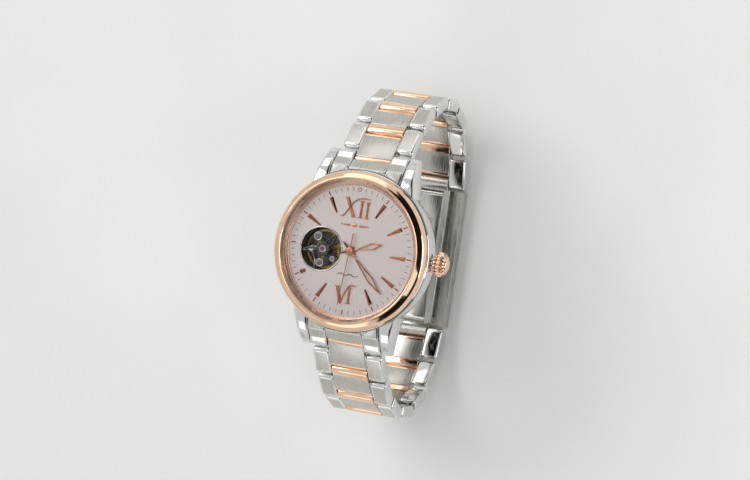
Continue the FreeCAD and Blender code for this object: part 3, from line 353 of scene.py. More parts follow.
# Rose-gold applied markers and flange, a touch softer so that they read against the dial.
satinRoseGold = polishedMetal("satinRoseGoldPlate", *gold["satin"])
# Nickel-plated brass of plates and bridges, with a fine circular grain; its grey is darkened as painted shade that
# falls on the movement under the dial.
grainShadeNickel = brushedMetal("grainedShadeNickelPlate", "#8F8B86", "#625E5A", 0.32, (1, 1, 1), 3500.0)
# Gilt brass wheels, turned and lapped.
giltBrass = polishedMetal("giltBrass", "#C9A45C", "#9A7238", 0.22)
# Pinker, paler gold of the stepped flange under the crystal.
flangeGold = polishedMetal("pinkGoldFlange", "#EBC8BA", "#DDB4A4", 0.26)
# The same gold darkened as painted shade for the hands' tails, which lie on their shaded side and show dark
# against the pale dial.
shadeTailGold = polishedMetal("paintedShadeTailGold", "#7A5140", "#57382C", 0.2)
# Nickel of the balance bridge seen through the aperture, darkened as painted shade under the dial: grey with
# bright bevels.
shadeBridgeNickel = brushedMetal("paintedShadeNickelBridge", "#7F7A76", "#4F4B48", 0.26, (1, 1, 1), 3500.0)
# Hardened steel of screws, springs and levers, polished dark grey.
hardSteel = polishedMetal("hardenedSteel", "#8A8B8F", "#5F6065", 0.16)


# Sapphire crystal: clear, so it is an alpha coat with a sharp gloss and a faint cool tint.
def sapphireGlass():
    settings = {"Base Color": linear("#1C2228"), "Roughness": 0.02, "IOR": 1.76, "Alpha": 0.06}
    material, tree, shader = newMaterial("sapphireCrystal", settings)
    haze = objectNoise(tree, (1, 1, 1), 90.0)
    variation(tree, haze, 0.015, 0.03, shader.inputs["Roughness"])
    return material


# Clear polyamide of the crystal's gasket: the bezel's gold wall shows through it.
def clearPolyamide():
    settings = {"Base Color": linear("#E8E2DC"), "Roughness": 0.25, "IOR": 1.53, "Alpha": 0.18}
    material, tree, shader = newMaterial("clearPolyamide", settings)
    variation(tree, objectNoise(tree, (1, 1, 1), 600.0), 0.2, 0.32, shader.inputs["Roughness"])
    return material


# Synthetic ruby: deep red, glassy, with slightly darker clouds.
def rubyJewel():
    settings = {"Roughness": 0.06, "IOR": 1.76, "Coat Weight": 0.6, "Coat Roughness": 0.03}
    material, tree, shader = newMaterial("syntheticRuby", settings)
    tinted(tree, objectNoise(tree, (1, 1, 1), 1500.0), "#5A0F2E", "#A8285A", shader.inputs["Base Color"])
    return material


# Nitrile rubber: matt black with a slight moulded texture.
def nitrileRubber():
    material, tree, shader = newMaterial("nitrileRubber", {"Roughness": 0.7, "IOR": 1.5})
    grain = objectNoise(tree, (1, 1, 1), 2500.0)
    tinted(tree, grain, "#141414", "#1F1F1F", shader.inputs["Base Color"])
    bumped(tree, shader, grain, 0.15, 0.00002)
    return material


# Sunray dial: brushed outwards from the centre under a pale pink lacquer. A noise that changes
# only with the angle round the centre gives the rays, drawn about one degree wide.
def sunrayLacquer():
    settings = {"Metallic": 0.55, "Roughness": 0.34, "Coat Weight": 0.35, "Coat Roughness": 0.08}
    material, tree, shader = newMaterial("sunrayPinkLacquer", settings)
    place = addNode(tree, "ShaderNodeTexCoord")
    parts = addNode(tree, "ShaderNodeSeparateXYZ", {}, {"Vector": place.outputs["Object"]})
    angle = addNode(tree, "ShaderNodeMath", {"operation": "ARCTAN2"},
                    {0: parts.outputs[1], 1: parts.outputs[0]})
    settings = {"noise_dimensions": "1D", "Scale": 42.0, "Detail": 6.0, "Roughness": 0.7}
    ray = addNode(tree, "ShaderNodeTexNoise", settings, {"W": angle.outputs[0]})
    tinted(tree, ray.outputs[0], "#E0D3D0", "#F0E5E2", shader.inputs["Base Color"])
    variation(tree, ray.outputs[0], 0.28, 0.42, shader.inputs["Roughness"])
    bumped(tree, shader, ray.outputs[0], 0.06, 0.00002)
    return material


# Printing ink on the dial: matt, slightly uneven.
def printedInk(name, light, dark):
    material, tree, shader = newMaterial(name, {"Roughness": 0.55})
    tinted(tree, objectNoise(tree, (1, 1, 1), 4000.0), dark, light, shader.inputs["Base Color"])
    return material


sapphire = sapphireGlass()
ruby = rubyJewel()
rubber = nitrileRubber()
polyamide = clearPolyamide()
sunray = sunrayLacquer()
greyInk = printedInk("greyDialInk", "#8C8486", "#777072")
redInk = printedInk("redDialInk", "#B23A52", "#98283F")

# The movement's nickel is darkened as painted shade under the dial.
slotFinish = {"polished_steel": polishedSteel, "brushed_steel": brushedSteel, "rose_gold": roseGold,
              "dial_silver": sunray, "sapphire": sapphire, "movement_nickel": grainShadeNickel,
              "movement_brass": giltBrass, "spring_steel": hardSteel, "ruby": ruby, "gasket_rubber": rubber}
for entry in frame["record"]["subparts"]:
    data = frame["nodes"][entry["node"]].data
    data.materials.clear()
    data.materials.append(slotFinish[entry["material_slot"]])
print("materials made")

bezelShape = {"inner": 14.9, "bore": 14.4, "seat": 8.4, "step": 9.97, "top": 11.24, "slopeFrom": 15.28,
              "slopeWide": 1.08, "slopeStart": 30, "slopeEnd": 46, "shoulderR": 1.24, "shoulderH": 1.94,
              "shoulderZ": 8.98}
caseShape = {"foot": 15.7, "bore": 14.4, "low": 1.0, "top": 8.38, "flareR": 1.4, "flareH": 5.6,
             "flareZ": 6.9, "lugInside": 8.0, "lugRoot": 3.5, "lugTip": 1.9, "lugEdge": 0.45}


# A quarter or longer arc of an ellipse as (radius, height) pairs between two angles in degrees.
def arcProfile(centreR, centreZ, radiusR, radiusZ, start, end, count):
    turn = np.radians(np.linspace(start, end, count))
    return np.stack([centreR + radiusR * np.cos(turn), centreZ + radiusZ * np.sin(turn)], axis=-1)


# The bezel slopes gently outwards from its inner edge, then rounds over into an upright wall.
def addBezel():
    shape = bezelShape
    inner, top, seat, step = shape["inner"], shape["top"], shape["seat"], shape["step"]
    slope = np.radians(np.linspace(shape["slopeStart"], shape["slopeEnd"], 12))
    out = shape["slopeFrom"] + np.linspace(0, shape["slopeWide"], 12)
    fall = np.concatenate([[0], np.cumsum(np.tan((slope[1:] + slope[:-1]) / 2) * np.diff(out))])
    shoulder = arcProfile(out[-1] - 0.86, shape["shoulderZ"], shape["shoulderR"], shape["shoulderH"],
                          shape["slopeEnd"], -5, 14)
    shoulder[:, 1] += (top - fall[-1] - shoulder[0, 1]) * np.linspace(1, 0, 14) ** 2
    lip = [(inner, step), (inner, 11.08), (14.98, 11.18), (15.1, 11.2), (15.16, 11.15), (15.22, top)]
    under = [(16.5, seat), (shape["bore"], seat), (shape["bore"], step), (inner, step)]
    profile = np.concatenate([lip, np.stack([out, top - fall], axis=-1), shoulder, under])
    addPiece("bezelRing", "case", [turnedPart(profile, steps=256)], [roseGold], 38, ("bezel",))


# A lug narrows in width from the case to its tip; its side outline is given in (along, height).
def lugPart(side, end):
    root = 12.3
    corners = [(root, 1.4), (16.9, 1.3), (20.15, 0.45), (20.78, 1.15), (20.78, 2.7), (19.9, 3.95),
               (18.1, 5.75), (15.9, 7.2), (root, 7.9)]
    outline = roundedOutline(corners, [0.1, 4.0, 0.5, 0.5, 1.2, 6.0, 9.0, 9.0, 0.1], 7)
    tip, width = caseShape["lugTip"], caseShape["lugRoot"] - caseShape["lugTip"]
    verts, faces, finishes, caps = barPart(outline, 0.0, tip, caseShape["lugEdge"], 4, 4)
    share = np.clip((verts[:, 1] - root) / 8.5, 0, 1)
    across = caseShape["lugInside"] + verts[:, 0] * (caseShape["lugRoot"] - width * share ** 0.8) / tip
    return np.stack([side * across, end * verts[:, 1], verts[:, 2]], axis=-1), faces, finishes, caps


# A turned case, fullest just under the bezel, with the crown's tube and four lugs.
def addCase():
    shape = caseShape
    bore, low, top = shape["bore"], shape["low"], shape["top"]
    flank = arcProfile(15.6, shape["flareZ"], shape["flareR"], shape["flareH"], -62, 12, 18)
    shoulder = arcProfile(16.3, 7.7, 0.68, 0.66, 14, 84, 6)
    foot = [(bore, low), (shape["foot"] - 0.15, low), (shape["foot"], low + 0.15)]
    profile = np.concatenate([foot, flank, shoulder, [(bore, top), (bore, low)]])
    tube = turnedPart([(0.56, 14.45), (1.3, 14.45), (1.3, 18.0), (1.2, 18.1), (0.95, 18.1), (0.95, 17.3),
                       (0.56, 17.3), (0.56, 14.45)], steps=48)
    tube = (tube[0][:, [2, 0, 1]] + [0, 0, crownShape["height"]],) + tube[1:]
    lugs = [lugPart(side, end) for side in (-1, 1) for end in (-1, 1)]
    addPiece("caseMiddleBody", "case", [turnedPart(profile, steps=256), tube] + lugs, [polishedSteel], 34,
             ("case_middle",))


crownShape = {"from": 17.25, "height": 4.6, "flutes": 18, "depth": 0.17}


# An onion of flutes: the radius is the side profile less a share that follows the cosine of the
# flute count times the angle, squared off so that the ribs stay broad and the flutes narrow.
def addCrown():
    # (along, radius, share of the flutes)
    side = [(1.0, 0.0, 0), (1.0, 1.42, 0), (0.0, 1.42, 0), (0.0, 2.0, 0), (0.1, 2.12, 0.1), (0.25, 2.16, 0.5),
            (0.5, 2.4, 0.85), (0.8, 2.56, 1), (1.15, 2.6, 1), (1.5, 2.55, 1), (1.85, 2.42, 1), (2.15, 2.2, 1),
            (2.38, 1.95, 0.9), (2.52, 1.74, 0.45), (2.56, 1.62, 0), (2.46, 1.56, 0), (2.46, 1.5, 0),
            (2.62, 1.45, 0), (2.8, 1.2, 0), (2.92, 0.8, 0), (2.98, 0.4, 0), (3.0, 0.0, 0)]
    along, radius, share = np.array(side).T
    turn = np.linspace(0, 2 * np.pi, crownShape["flutes"] * 14, endpoint=False)
    wave = np.clip(0.5 - 0.5 * np.cos(crownShape["flutes"] * turn), 0, 1) ** 2.2
    grid = np.empty((len(along), len(turn), 3))
    reach = radius[:, None] * (1 - crownShape["depth"] * share[:, None] * wave)
    grid[..., 0] = crownShape["from"] + along[:, None]
    grid[..., 1] = reach * np.cos(turn)
    grid[..., 2] = crownShape["height"] + reach * np.sin(turn)
    addPiece("crownKnob", "crown", [gridPart(grid)], [roseGold], 40, ("crown",))


# The crystal's clear gasket, and the rubber ring under the case middle.
def addGaskets():
    front = [(14.76, 9.98), (14.89, 9.98), (14.89, 11.0), (14.76, 11.0), (14.76, 9.98)]
    seat = caseShape["bore"] + (caseShape["foot"] - caseShape["bore"]) / 3
    back = arcProfile(seat + 0.22, 0.9, 0.2, 0.2, 0, 360, 17)
    rings = [turnedPart(front, steps=128), turnedPart(back, steps=128, finish=1)]
    addPiece("caseGasketRings", "case", rings, [polyamide, rubber], 30, ("case_gaskets",))


addBezel()
addGaskets()
addCase()
addCrown()
print("case, bezel and crown made")

linkShape = {"half": 1.38, "pitch": 7.75, "column": 4.0, "inside": 4.08, "outside": 7.8,
             "firstBarEnd": -0.5, "barEnd": 0.9, "plateEnd": 6.0, "goldEdge": 0.6, "outerStart": 1.98,
             "pinReach": 7.4}
linkSlopes = (39.0, 49.0, 67.0, 90.0, 115.0, 140.0, 165.0)     # each link's angle below level, in degrees


def linkPlace(index, end):
    hinge = jointPlace["link_%s_%d_hinge" % ("12" if end > 0 else "6", index + 1)]
    slope = math.radians(linkSlopes[index])

    def place(points):
        y = end * hinge[1] + points[:, 1] * math.cos(slope) + points[:, 2] * math.sin(slope)
        z = hinge[2] - points[:, 1] * math.sin(slope) + points[:, 2] * math.cos(slope)
        return np.stack([end * points[:, 0], end * y, z], axis=-1)
    return place


# One link, in (across, along, up): a rounded gold bar, a brushed plate with a gold far edge, and two
# polished outer links with brushed tops, whose far ends are half rounds about the next pin.
def linkParts(barEnd):
    half, column = linkShape["half"], linkShape["column"]
    edge = linkShape["plateEnd"] - linkShape["goldEdge"]
    if barEnd < 0:                                             # the first plate reaches over its bar
        barCorners = [(-half, -half), (0.5, -half), (0.5, 0), (barEnd, 0), (barEnd, half), (-half, half)]
        plateCorners = [(barEnd + 0.04, 0.05), (0.54, 0.05), (0.54, -half)]
        barRadii, plateRadii = [1.35, 0.12, 0.05, 0.05, 0.25, 1.35], [0.05, 0.05, 0.05, 0.05, 0.08, 0.2]
    else:
        barCorners = [(-half, -half), (barEnd, -half), (barEnd, half), (-half, half)]
        plateCorners = [(barEnd + 0.04, -half)]
        barRadii, plateRadii = [1.35, 0.12, 0.3, 1.35], [0.05, 0.05, 0.08, 0.2]
    bar = roundedOutline(barCorners, barRadii, 7)
    plateCorners += [(edge - 0.02, -half), (edge - 0.02, half - 0.03), (barEnd + 0.04, half - 0.03)]
    plate = roundedOutline(plateCorners, plateRadii, 3)
    plateEnd, start, end = linkShape["plateEnd"], linkShape["outerStart"], linkShape["pitch"] + half
    trim = roundedOutline([(edge, -half + 0.1), (plateEnd, -half + 0.1), (plateEnd, half - 0.04),
                           (edge, half - 0.04)], [0.05, 0.25, 0.4, 0.1], 4)
    outer = roundedOutline([(start, -half), (end, -half), (end, half), (start, half)],
                           [0.5, 1.39, 1.36, 0.85], 7)
    parts = [barPart(bar, -column, column, 0.16, 3, 1, 2), barPart(plate, -column, column, 0.1, 2, 1, 1),
             barPart(trim, -column, column, 0.12, 2, 1, 2)]
    for side in (-1, 1):
        low, high = sorted((side * linkShape["inside"], side * linkShape["outside"]))
        parts.append(barPart(outer, low, high, 0.55, 5, 1, 0, 1))
    tie = roundedOutline([(2.1, -1.25), (5.8, -1.25), (5.8, 1.1), (2.1, 1.1)], 0.1, 2)
    reach = linkShape["inside"] + 0.1
    parts.append(barPart(tie, -reach, reach, 0.05, 1))         # holds the three rows together
    return parts


def addLinks():
    outline = roundedOutline([(-0.5, -0.5), (0.5, -0.5), (0.5, 0.5), (-0.5, 0.5)], 0.49, 4)
    pin = barPart(outline + [linkShape["pitch"], 0], -linkShape["pinReach"], linkShape["pinReach"], 0.05, 1)
    for end, side in ((1, "12"), (-1, "6")):
        for index in range(len(linkSlopes)):
            node = "link_%s_%d" % (side, index + 1)
            parts = linkParts(linkShape["barEnd" if index else "firstBarEnd"])
            if end > 0 or index < len(linkSlopes) - 1:
                parts.append(pin)
            placed = [moved(part, linkPlace(index, end)) for part in parts]
            addPiece("braceletLink%sn%d" % (side, index + 1), bodyOf[node], placed,
                     [polishedSteel, brushedSteel, roseGold], 32, (node,))


# End links: a brushed centre and two ears with polished borders, trimmed to the case's side.
endLinkShape = {"back": 14.0, "front": 17.55, "top": 7.3, "shoulder": 6.35, "centre": 4.08, "ear": 7.9,
                "case": 17.03}


def endLinkSides():
    shape = endLinkShape
    back, front, shoulder, top = shape["back"], shape["front"], shape["shoulder"], shape["top"]
    centre = roundedOutline([(back, 1.4), (front, 1.0), (front, 3.2), (18.95, 3.72), (18.95, 4.3),
                             (17.2, shoulder), (back, top)], [0.05, 0.3, 0.5, 0.1, 0.4, 1.0, 0.05], 4)
    ear = roundedOutline([(back, 1.4), (17.6, 0.7), (20.7, 0.62), (20.7, 3.4), (19.0, 4.6),
                          (17.4, shoulder), (back, top)], [0.05, 0.3, 1.35, 1.3, 1.6, 1.5, 0.05], 6)
    parts = [barPart(centre, -shape["centre"], shape["centre"], 0.16, 3, 14, 0)]
    for side in (-1, 1):
        low, high = sorted((side * (shape["centre"] + 0.06), side * shape["ear"]))
        parts.append(barPart(ear, low, high, 0.38, 4, 6, 1))
    for end in (1, -1):
        placed = []
        for verts, faces, finishes, caps in parts:
            corners = verts[faces]
            spread = corners[..., 0].max(axis=1) - corners[..., 0].min(axis=1)
            flat = (spread > 0.3) & (corners[..., 1].max(axis=1) < 20.0)
            verts = verts.copy()
            verts[:, 1] = np.maximum(verts[:, 1], np.sqrt(shape["case"] ** 2 - verts[:, 0] ** 2))
            placed.append((verts * [end, end, 1], faces, np.where(flat, 0, 1), caps))
        yield placed


def addEndLinks():
    placed = [part for parts in endLinkSides() for part in parts]
    addPiece("braceletEndLinks", "case", placed, [brushedSteel, polishedSteel], 32, ("end_links",))


addLinks()
addEndLinks()
print("bracelet made")

dialShape = {"top": 8.7, "ticks": 60, "tickR": 12.85, "tickLength": 0.8, "tickWidth": 0.14,
             "fiveLength": 1.0, "fiveWidth": 0.27, "rimR": 4.45, "balance": (-6.6, -0.5)}


# A clock angle, in degrees round from twelve, as a turn of points that lie along the first axis.
def clockTurn(clockAngle):
    turn = math.radians(90 - clockAngle)
    return np.array([[math.cos(turn), math.sin(turn)], [-math.sin(turn), math.cos(turn)]])


# The flange ring falls from the crystal to the dial in three rounded steps.
def addRehaut():
    steps = [(13.7, 8.7), (13.7, 8.92), (13.78, 9.0), (13.95, 9.03), (13.98, 9.3), (14.06, 9.37),
             (14.18, 9.4), (14.2, 9.66), (14.27, 9.73), (14.33, 9.76), (14.36, 9.96), (14.38, 9.96),
             (14.38, 8.7), (13.7, 8.7)]
    addPiece("rehautRing", "case", [turnedPart(steps, steps=256)], [flangeGold], 30, ("rehaut_ring",))


# A thin printed bar lying along a radius.
def tickPart(angle, length, width, finish):
    low, high = dialShape["tickR"] - length / 2, dialShape["tickR"] + length / 2
    bar = np.array([(low, -width / 2), (high, -width / 2), (high, width / 2), (low, width / 2)])
    flat = bar @ clockTurn(angle)
    middle = np.repeat(flat.mean(axis=0)[None], 4, axis=0)
    return facetPart(flat, middle, dialShape["top"] - 0.01, dialShape["top"] + 0.015, 0.95, finish)


# Minute track: short grey strokes, wider red ones every five minutes, and a small ring at twelve.
def addMinuteTrack():
    parts = []
    for minute in range(1, dialShape["ticks"]):
        if minute % 5:
            parts.append(tickPart(minute * 6, dialShape["tickLength"], dialShape["tickWidth"], 0))
        else:
            parts.append(tickPart(minute * 6, dialShape["fiveLength"], dialShape["fiveWidth"], 1))
    ring = [(0.26, 8.69), (0.26, 8.715), (0.42, 8.715), (0.42, 8.69), (0.26, 8.69)]
    parts.append(turnedPart(ring, (0.0, dialShape["tickR"]), 32, 1))
    addPiece("minuteTrack", "case", parts, [greyInk, redInk])


# Polished rim round the aperture, and the dial's cut edge below it.
def addApertureRim():
    inside = dialShape["rimR"]
    profile = [(inside - 0.02, 8.3), (inside - 0.02, 8.72), (inside + 0.04, 8.8), (inside + 0.12, 8.84),
               (inside + 0.24, 8.82), (inside + 0.34, 8.72), (inside + 0.36, 8.66), (inside + 0.1, 8.3),
               (inside - 0.02, 8.3)]
    addPiece("apertureRim", "case", [turnedPart(profile, dialShape["balance"], 128)], [polishedSteel], 40)


markerShape = {"low": 8.7, "high": 9.05, "inner": 8.6, "short": 10.75, "outer": 12.0, "wide": 0.9,
               "narrow": 0.35}


# A baton with a ridge along its middle and a sloped outer end.
def batonPart(clockAngle, inner):
    shape = markerShape
    grow = (inner - shape["inner"]) / (shape["outer"] - shape["inner"])
    narrow = (shape["narrow"] + (shape["wide"] - shape["narrow"]) * grow) / 2
    wide = shape["wide"] / 2
    outline = [(inner, -narrow), (shape["outer"], -wide), (shape["outer"], wide), (inner, narrow)]
    ridge = [(inner + 0.12, 0), (shape["outer"] - 0.5, 0), (shape["outer"] - 0.5, 0), (inner + 0.12, 0)]
    spin = clockTurn(clockAngle)
    return facetPart(np.array(outline) @ spin, np.array(ridge) @ spin, shape["low"], shape["high"], 0.25)


# A flat stroke with sloped edges along a smooth path; its half width is given at each path point.
def strokePart(points, widths, count=18, crown=0.1):
    points, widths = np.asarray(points, float), np.asarray(widths, float)
    length = np.concatenate([[0], np.cumsum(np.linalg.norm(np.diff(points, axis=0), axis=1))])
    step = np.linspace(0, length[-1], count)
    path = np.stack([np.interp(step, length, points[:, 0]), np.interp(step, length, points[:, 1])], axis=-1)
    if len(points) > 2:                                        # rounds the corners between the given points
        for repeat in range(3):
            path[1:-1] = (path[:-2] + 2 * path[1:-1] + path[2:]) / 4
    width = np.interp(step, length, widths)
    section = np.array([(-1, 0), (1, 0), (1, 0.12), (0.55, 0.25 + crown), (-0.55, 0.25 + crown), (-1, 0.12)])
    return carriedPart(path, section, markerShape["low"], taper=width)


# An upright stroke with a serif at each end.
def stemParts(x, low, high, wide, serif):
    return [strokePart([(x, low), (x, high)], [wide, wide], 4),
            strokePart([(x - serif, low + 0.09), (x + serif, low + 0.09)], [0.09, 0.09], 4, 0.05),
            strokePart([(x - serif, high - 0.09), (x + serif, high - 0.09)], [0.09, 0.09], 4, 0.05)]


numeralShape = {"twelve": (6.95, 11.15), "six": (-11.1, -6.95)}       # lower and upper edges


# Twelve and six as applied numerals with a pen's thick and thin strokes and long swashes.
def numeralParts():
    low, high = numeralShape["twelve"]
    parts = stemParts(0.95, low + 0.05, high - 0.55, 0.25, 0.52)
    parts += stemParts(2.3, low + 0.05, high - 0.7, 0.25, 0.52)
    parts.append(strokePart([(-2.35, high - 0.25), (-0.55, low + 0.15)], [0.36, 0.36], 6))
    parts.append(strokePart([(-2.8, high - 0.2), (-1.95, high - 0.2)], [0.09, 0.09], 4, 0.05))
    parts.append(strokePart([(-1.0, low + 0.09), (-0.1, low + 0.09)], [0.09, 0.09], 4, 0.05))
    parts.append(strokePart([(-3.3, low + 0.1), (-3.0, low - 0.02), (-2.6, low + 0.35), (-1.7, low + 1.8),
                             (-0.9, low + 3.2), (0.2, high - 0.2), (1.6, high + 0.02), (2.2, high - 0.15),
                             (2.75, high - 0.05)],
                            [0.13, 0.15, 0.12, 0.11, 0.12, 0.13, 0.14, 0.13, 0.06], 40))
    low, high = numeralShape["six"]
    parts += stemParts(0.95, low + 0.1, high - 0.55, 0.27, 0.55)
    parts.append(strokePart([(-1.75, high - 0.6), (-0.75, low + 0.1)], [0.38, 0.34], 6))
    parts.append(strokePart([(-2.3, high - 0.62), (-1.25, high - 0.62)], [0.09, 0.09], 4, 0.05))
    parts.append(strokePart([(-0.72, low + 0.05), (-0.35, low + 1.2), (0.1, low + 2.6), (0.7, high - 0.35),
                             (1.3, high + 0.02), (1.8, high - 0.22), (2.3, high - 0.1)],
                            [0.2, 0.13, 0.12, 0.13, 0.16, 0.14, 0.06], 32))
    return parts


def addMarkers():
    parts = [batonPart(30 * hour, markerShape["inner"]) for hour in (1, 2, 3, 4, 5, 7, 10, 11)]
    parts.append(batonPart(30 * 8, markerShape["short"]))      # the aperture leaves room for a short one
    addPiece("hourMarkers", "case", parts + numeralParts(), [satinRoseGold], 25, ("hour_markers",))


# A plain applied ornament under twelve: a lozenge between two fine tapering bars.
def addOrnament():
    y, low = 5.35, markerShape["low"]
    lozenge = np.array([(-0.8, y), (0, y - 0.45), (0.8, y), (0, y + 0.45)])
    parts = [facetPart(lozenge, np.full((4, 2), (0, y)), low, low + 0.16, 0.3)]
    for side in (-1, 1):
        bar = [(side * 1.05, y), (side * 2.2, y), (side * 3.15, y)]
        parts.append(strokePart(bar, [0.26, 0.2, 0.06], 8, -0.1))
    addPiece("dialOrnament", "case", parts, [satinRoseGold], 25)
    flourish = strokePart([(-2.4, -5.2), (-1.5, -4.8), (-0.5, -5.3), (0.5, -4.8), (1.5, -5.3), (2.4, -4.9)],
                          [0.03, 0.1, 0.06, 0.1, 0.06, 0.03], 60, -0.235)
    addPiece("dialFlourish", "case", [flourish], [greyInk])


addRehaut()
addMinuteTrack()
addApertureRim()
addMarkers()
addOrnament()
print("dial made")

# Angles in degrees round from twelve; the other sizes in millimetres.
handShape = {
    "hour": {"at": 71.4, "z": 9.05, "length": 7.15, "start": 1.6, "wide": 1.5, "hub": 1.05, "hole": 0.62,
             "tail": 2.1},
    "minute": {"at": 134.9, "z": 9.3, "length": 11.3, "start": 1.7, "wide": 1.4, "hub": 0.95, "hole": 0.42,
               "tail": 2.4},
    "seconds": {"at": 185.0, "z": 9.55, "length": 11.6, "tail": 3.7},
}
handRail, handThick = 0.125, 0.12


# An openwork hand: a rounded rail carried round a lozenge, with a solid neck, hub and tail.
def leafHand(name, body, node, shape):
    spin, z = clockTurn(shape["at"]), shape["z"]
    start, length, hub, hole, tail = (shape[key] for key in ("start", "length", "hub", "hole", "tail"))
    half, widest = shape["wide"] / 2 - handRail, start + (length - start) * 0.62
    corners = [(start, 0), (widest, half), (length - 0.35, 0), (widest, -half)]
    path = roundedOutline(corners, [0.06, 1.2, 0.06, 1.2], 6)
    flat = np.array([(-1, 0), (1, 0), (1, 0.06), (0.4, handThick), (-0.4, handThick), (-1, 0.06)])
    section = np.array([(-1, 0), (1, 0), (1, 0.06), (0.35, handThick), (-0.35, handThick), (-1, 0.06)])
    parts = [carriedPart(path @ spin, section * [handRail, 1], z, closed=True)]
    neck = np.array([(hub * 0.8, 0), (start * 0.6 + hub * 0.4, 0), (start + 0.25, 0)]) @ spin
    parts.append(carriedPart(neck, flat, z, taper=[0.3, 0.22, 0.12]))
    tip = np.array([(length - 0.6, 0), (length - 0.3, 0), (length, 0)]) @ spin
    parts.append(carriedPart(tip, flat, z, taper=[0.13, 0.09, 0.03]))
    boss = [(hole, z - 0.02), (hole, z + 0.13), (hub - 0.08, z + 0.13), (hub, z + 0.06), (hub, z),
            (hub - 0.05, z - 0.02), (hole, z - 0.02)]
    parts.append(turnedPart(boss, steps=48))
    # The tail takes the second material: gold darkened as painted shade.
    back = np.array([(-hub * 0.8, 0), (-tail * 0.7, 0), (-tail, 0)]) @ spin
    parts.append(carriedPart(back, flat, z, finish=1, taper=[0.2, 0.19, 0.15]))
    addPiece(name, body, parts, [satinRoseGold, shadeTailGold], 30, (node,))


# The seconds hand: a needle with a ridge, and a stepped cap over its hub.
def addSecondsHand():
    shape = handShape["seconds"]
    z = shape["z"]
    needle = np.array([(-1, 0), (1, 0), (1, 0.06), (0, handThick), (-1, 0.06)])
    blade = np.array([(-shape["tail"], 0), (-1.5, 0), (0, 0), (5, 0), (shape["length"], 0)])
    cap = [(0.0, z), (0.72, z), (0.75, z + 0.05), (0.72, z + 0.14), (0.6, z + 0.19), (0.3, z + 0.215),
           (0.0, z + 0.22)]
    parts = [carriedPart(blade @ clockTurn(shape["at"]), needle, z, taper=[0.15, 0.12, 0.11, 0.08, 0.045]),
             turnedPart(cap, steps=48)]
    addPiece("secondsHand", "seconds", parts, [satinRoseGold], 30, ("seconds_hand",))


leafHand("hourHand", "hours", "hour_hand", handShape["hour"])
leafHand("minuteHand", "minutes", "minute_hand", handShape["minute"])
addSecondsHand()
print("hands made")

# Each arm is four (radius, angle in degrees) points round the jewel and a half width; each boss is
# a place and a radius.
bridgeShape = {
    "low": 7.4, "high": 8.0, "ring": 1.5,
    "bosses": ((-1.3, 2.5, 0.95), (-0.2, -2.9, 0.9), (2.45, -1.75, 0.6)),
    "arms": (((1.35, 25), (2.7, 40), (4.2, 50), (5.25, 53), 0.17),
             ((1.35, 75), (2.7, 60), (4.2, 53), (5.25, 53), 0.17),
             ((1.3, 182), (2.6, 182), (4.0, 188), (5.25, 195), 0.42),
             ((3.7, 186), (2.2, 205), (2.6, 238), (5.25, 262), 0.24)),
}


def addBalanceBridge():
    centre, shape = np.array(dialShape["balance"]), bridgeShape
    low, high, ring = shape["low"], shape["high"], shape["ring"]
    hub = [(0.55, low), (0.55, high - 0.2), (0.8, high - 0.2), (0.85, high - 0.02), (1.0, high),
           (1.08, high - 0.14), (1.2, high - 0.14), (1.3, high), (ring - 0.06, high - 0.02),
           (ring, high - 0.12), (ring, low), (0.55, low)]
    parts = [turnedPart(hub, centre, 64)]
    section = np.array([(-1, -0.6), (1, -0.6), (1, -0.14), (0.6, 0), (-0.6, 0), (-1, -0.14)])
    for arm in shape["arms"]:
        radius, angle = np.array(arm[:4]).T
        share, given = np.linspace(0, 1, 22), np.linspace(0, 1, 4)
        reach, turn = np.interp(share, given, radius), np.radians(np.interp(share, given, angle))
        path = centre + np.stack([reach * np.cos(turn), reach * np.sin(turn)], axis=-1)
        for repeat in range(4):
            path[1:-1] = (path[:-2] + 2 * path[1:-1] + path[2:]) / 4
        verts, faces, finishes, caps = carriedPart(path, section, high, taper=np.full(22, arm[4]))
        finishes.reshape(-1, len(section))[:, [2, 4]] = 1      # the bevels are polished
        parts.append((verts, faces, finishes, caps))
    for x, y, radius in shape["bosses"]:
        boss = [(0.3, low), (0.3, high - 0.1), (radius - 0.2, high - 0.1), (radius - 0.14, high + 0.02),
                (radius - 0.04, high + 0.02), (radius, high - 0.06), (radius, low), (0.3, low)]
        parts.append(turnedPart(boss, centre + [x, y], 40, finish=1))
    # The bridge's faces are nickel darkened as painted shade under the dial; its bosses and bevels are polished
    # steel.
    addPiece("balanceBridgePlate", "case", parts, [shadeBridgeNickel, polishedSteel], 28, ("balance_bridge",))
    screws = [domePart(centre + [x, y], radius - 0.22, high - 0.12, 0.1, 32, 6)
              for x, y, radius in shape["bosses"]]
    # The screws are nickel darkened as painted shade under the dial.
    addPiece("bridgeScrews", "case", screws, [grainShadeNickel], 30)
    collar = [(0.5, 7.78), (0.5, 8.0), (0.55, 8.05), (0.68, 8.05), (0.74, 7.98), (0.74, 7.78), (0.5, 7.78)]
    stone = domePart(centre, 0.5, 7.84, 0.14, 32, 7, 1)
    addPiece("shockSetting", "case", [turnedPart(collar, centre, 40), stone], [polishedSteel, ruby], 35)


addBalanceBridge()
print("balance bridge made")

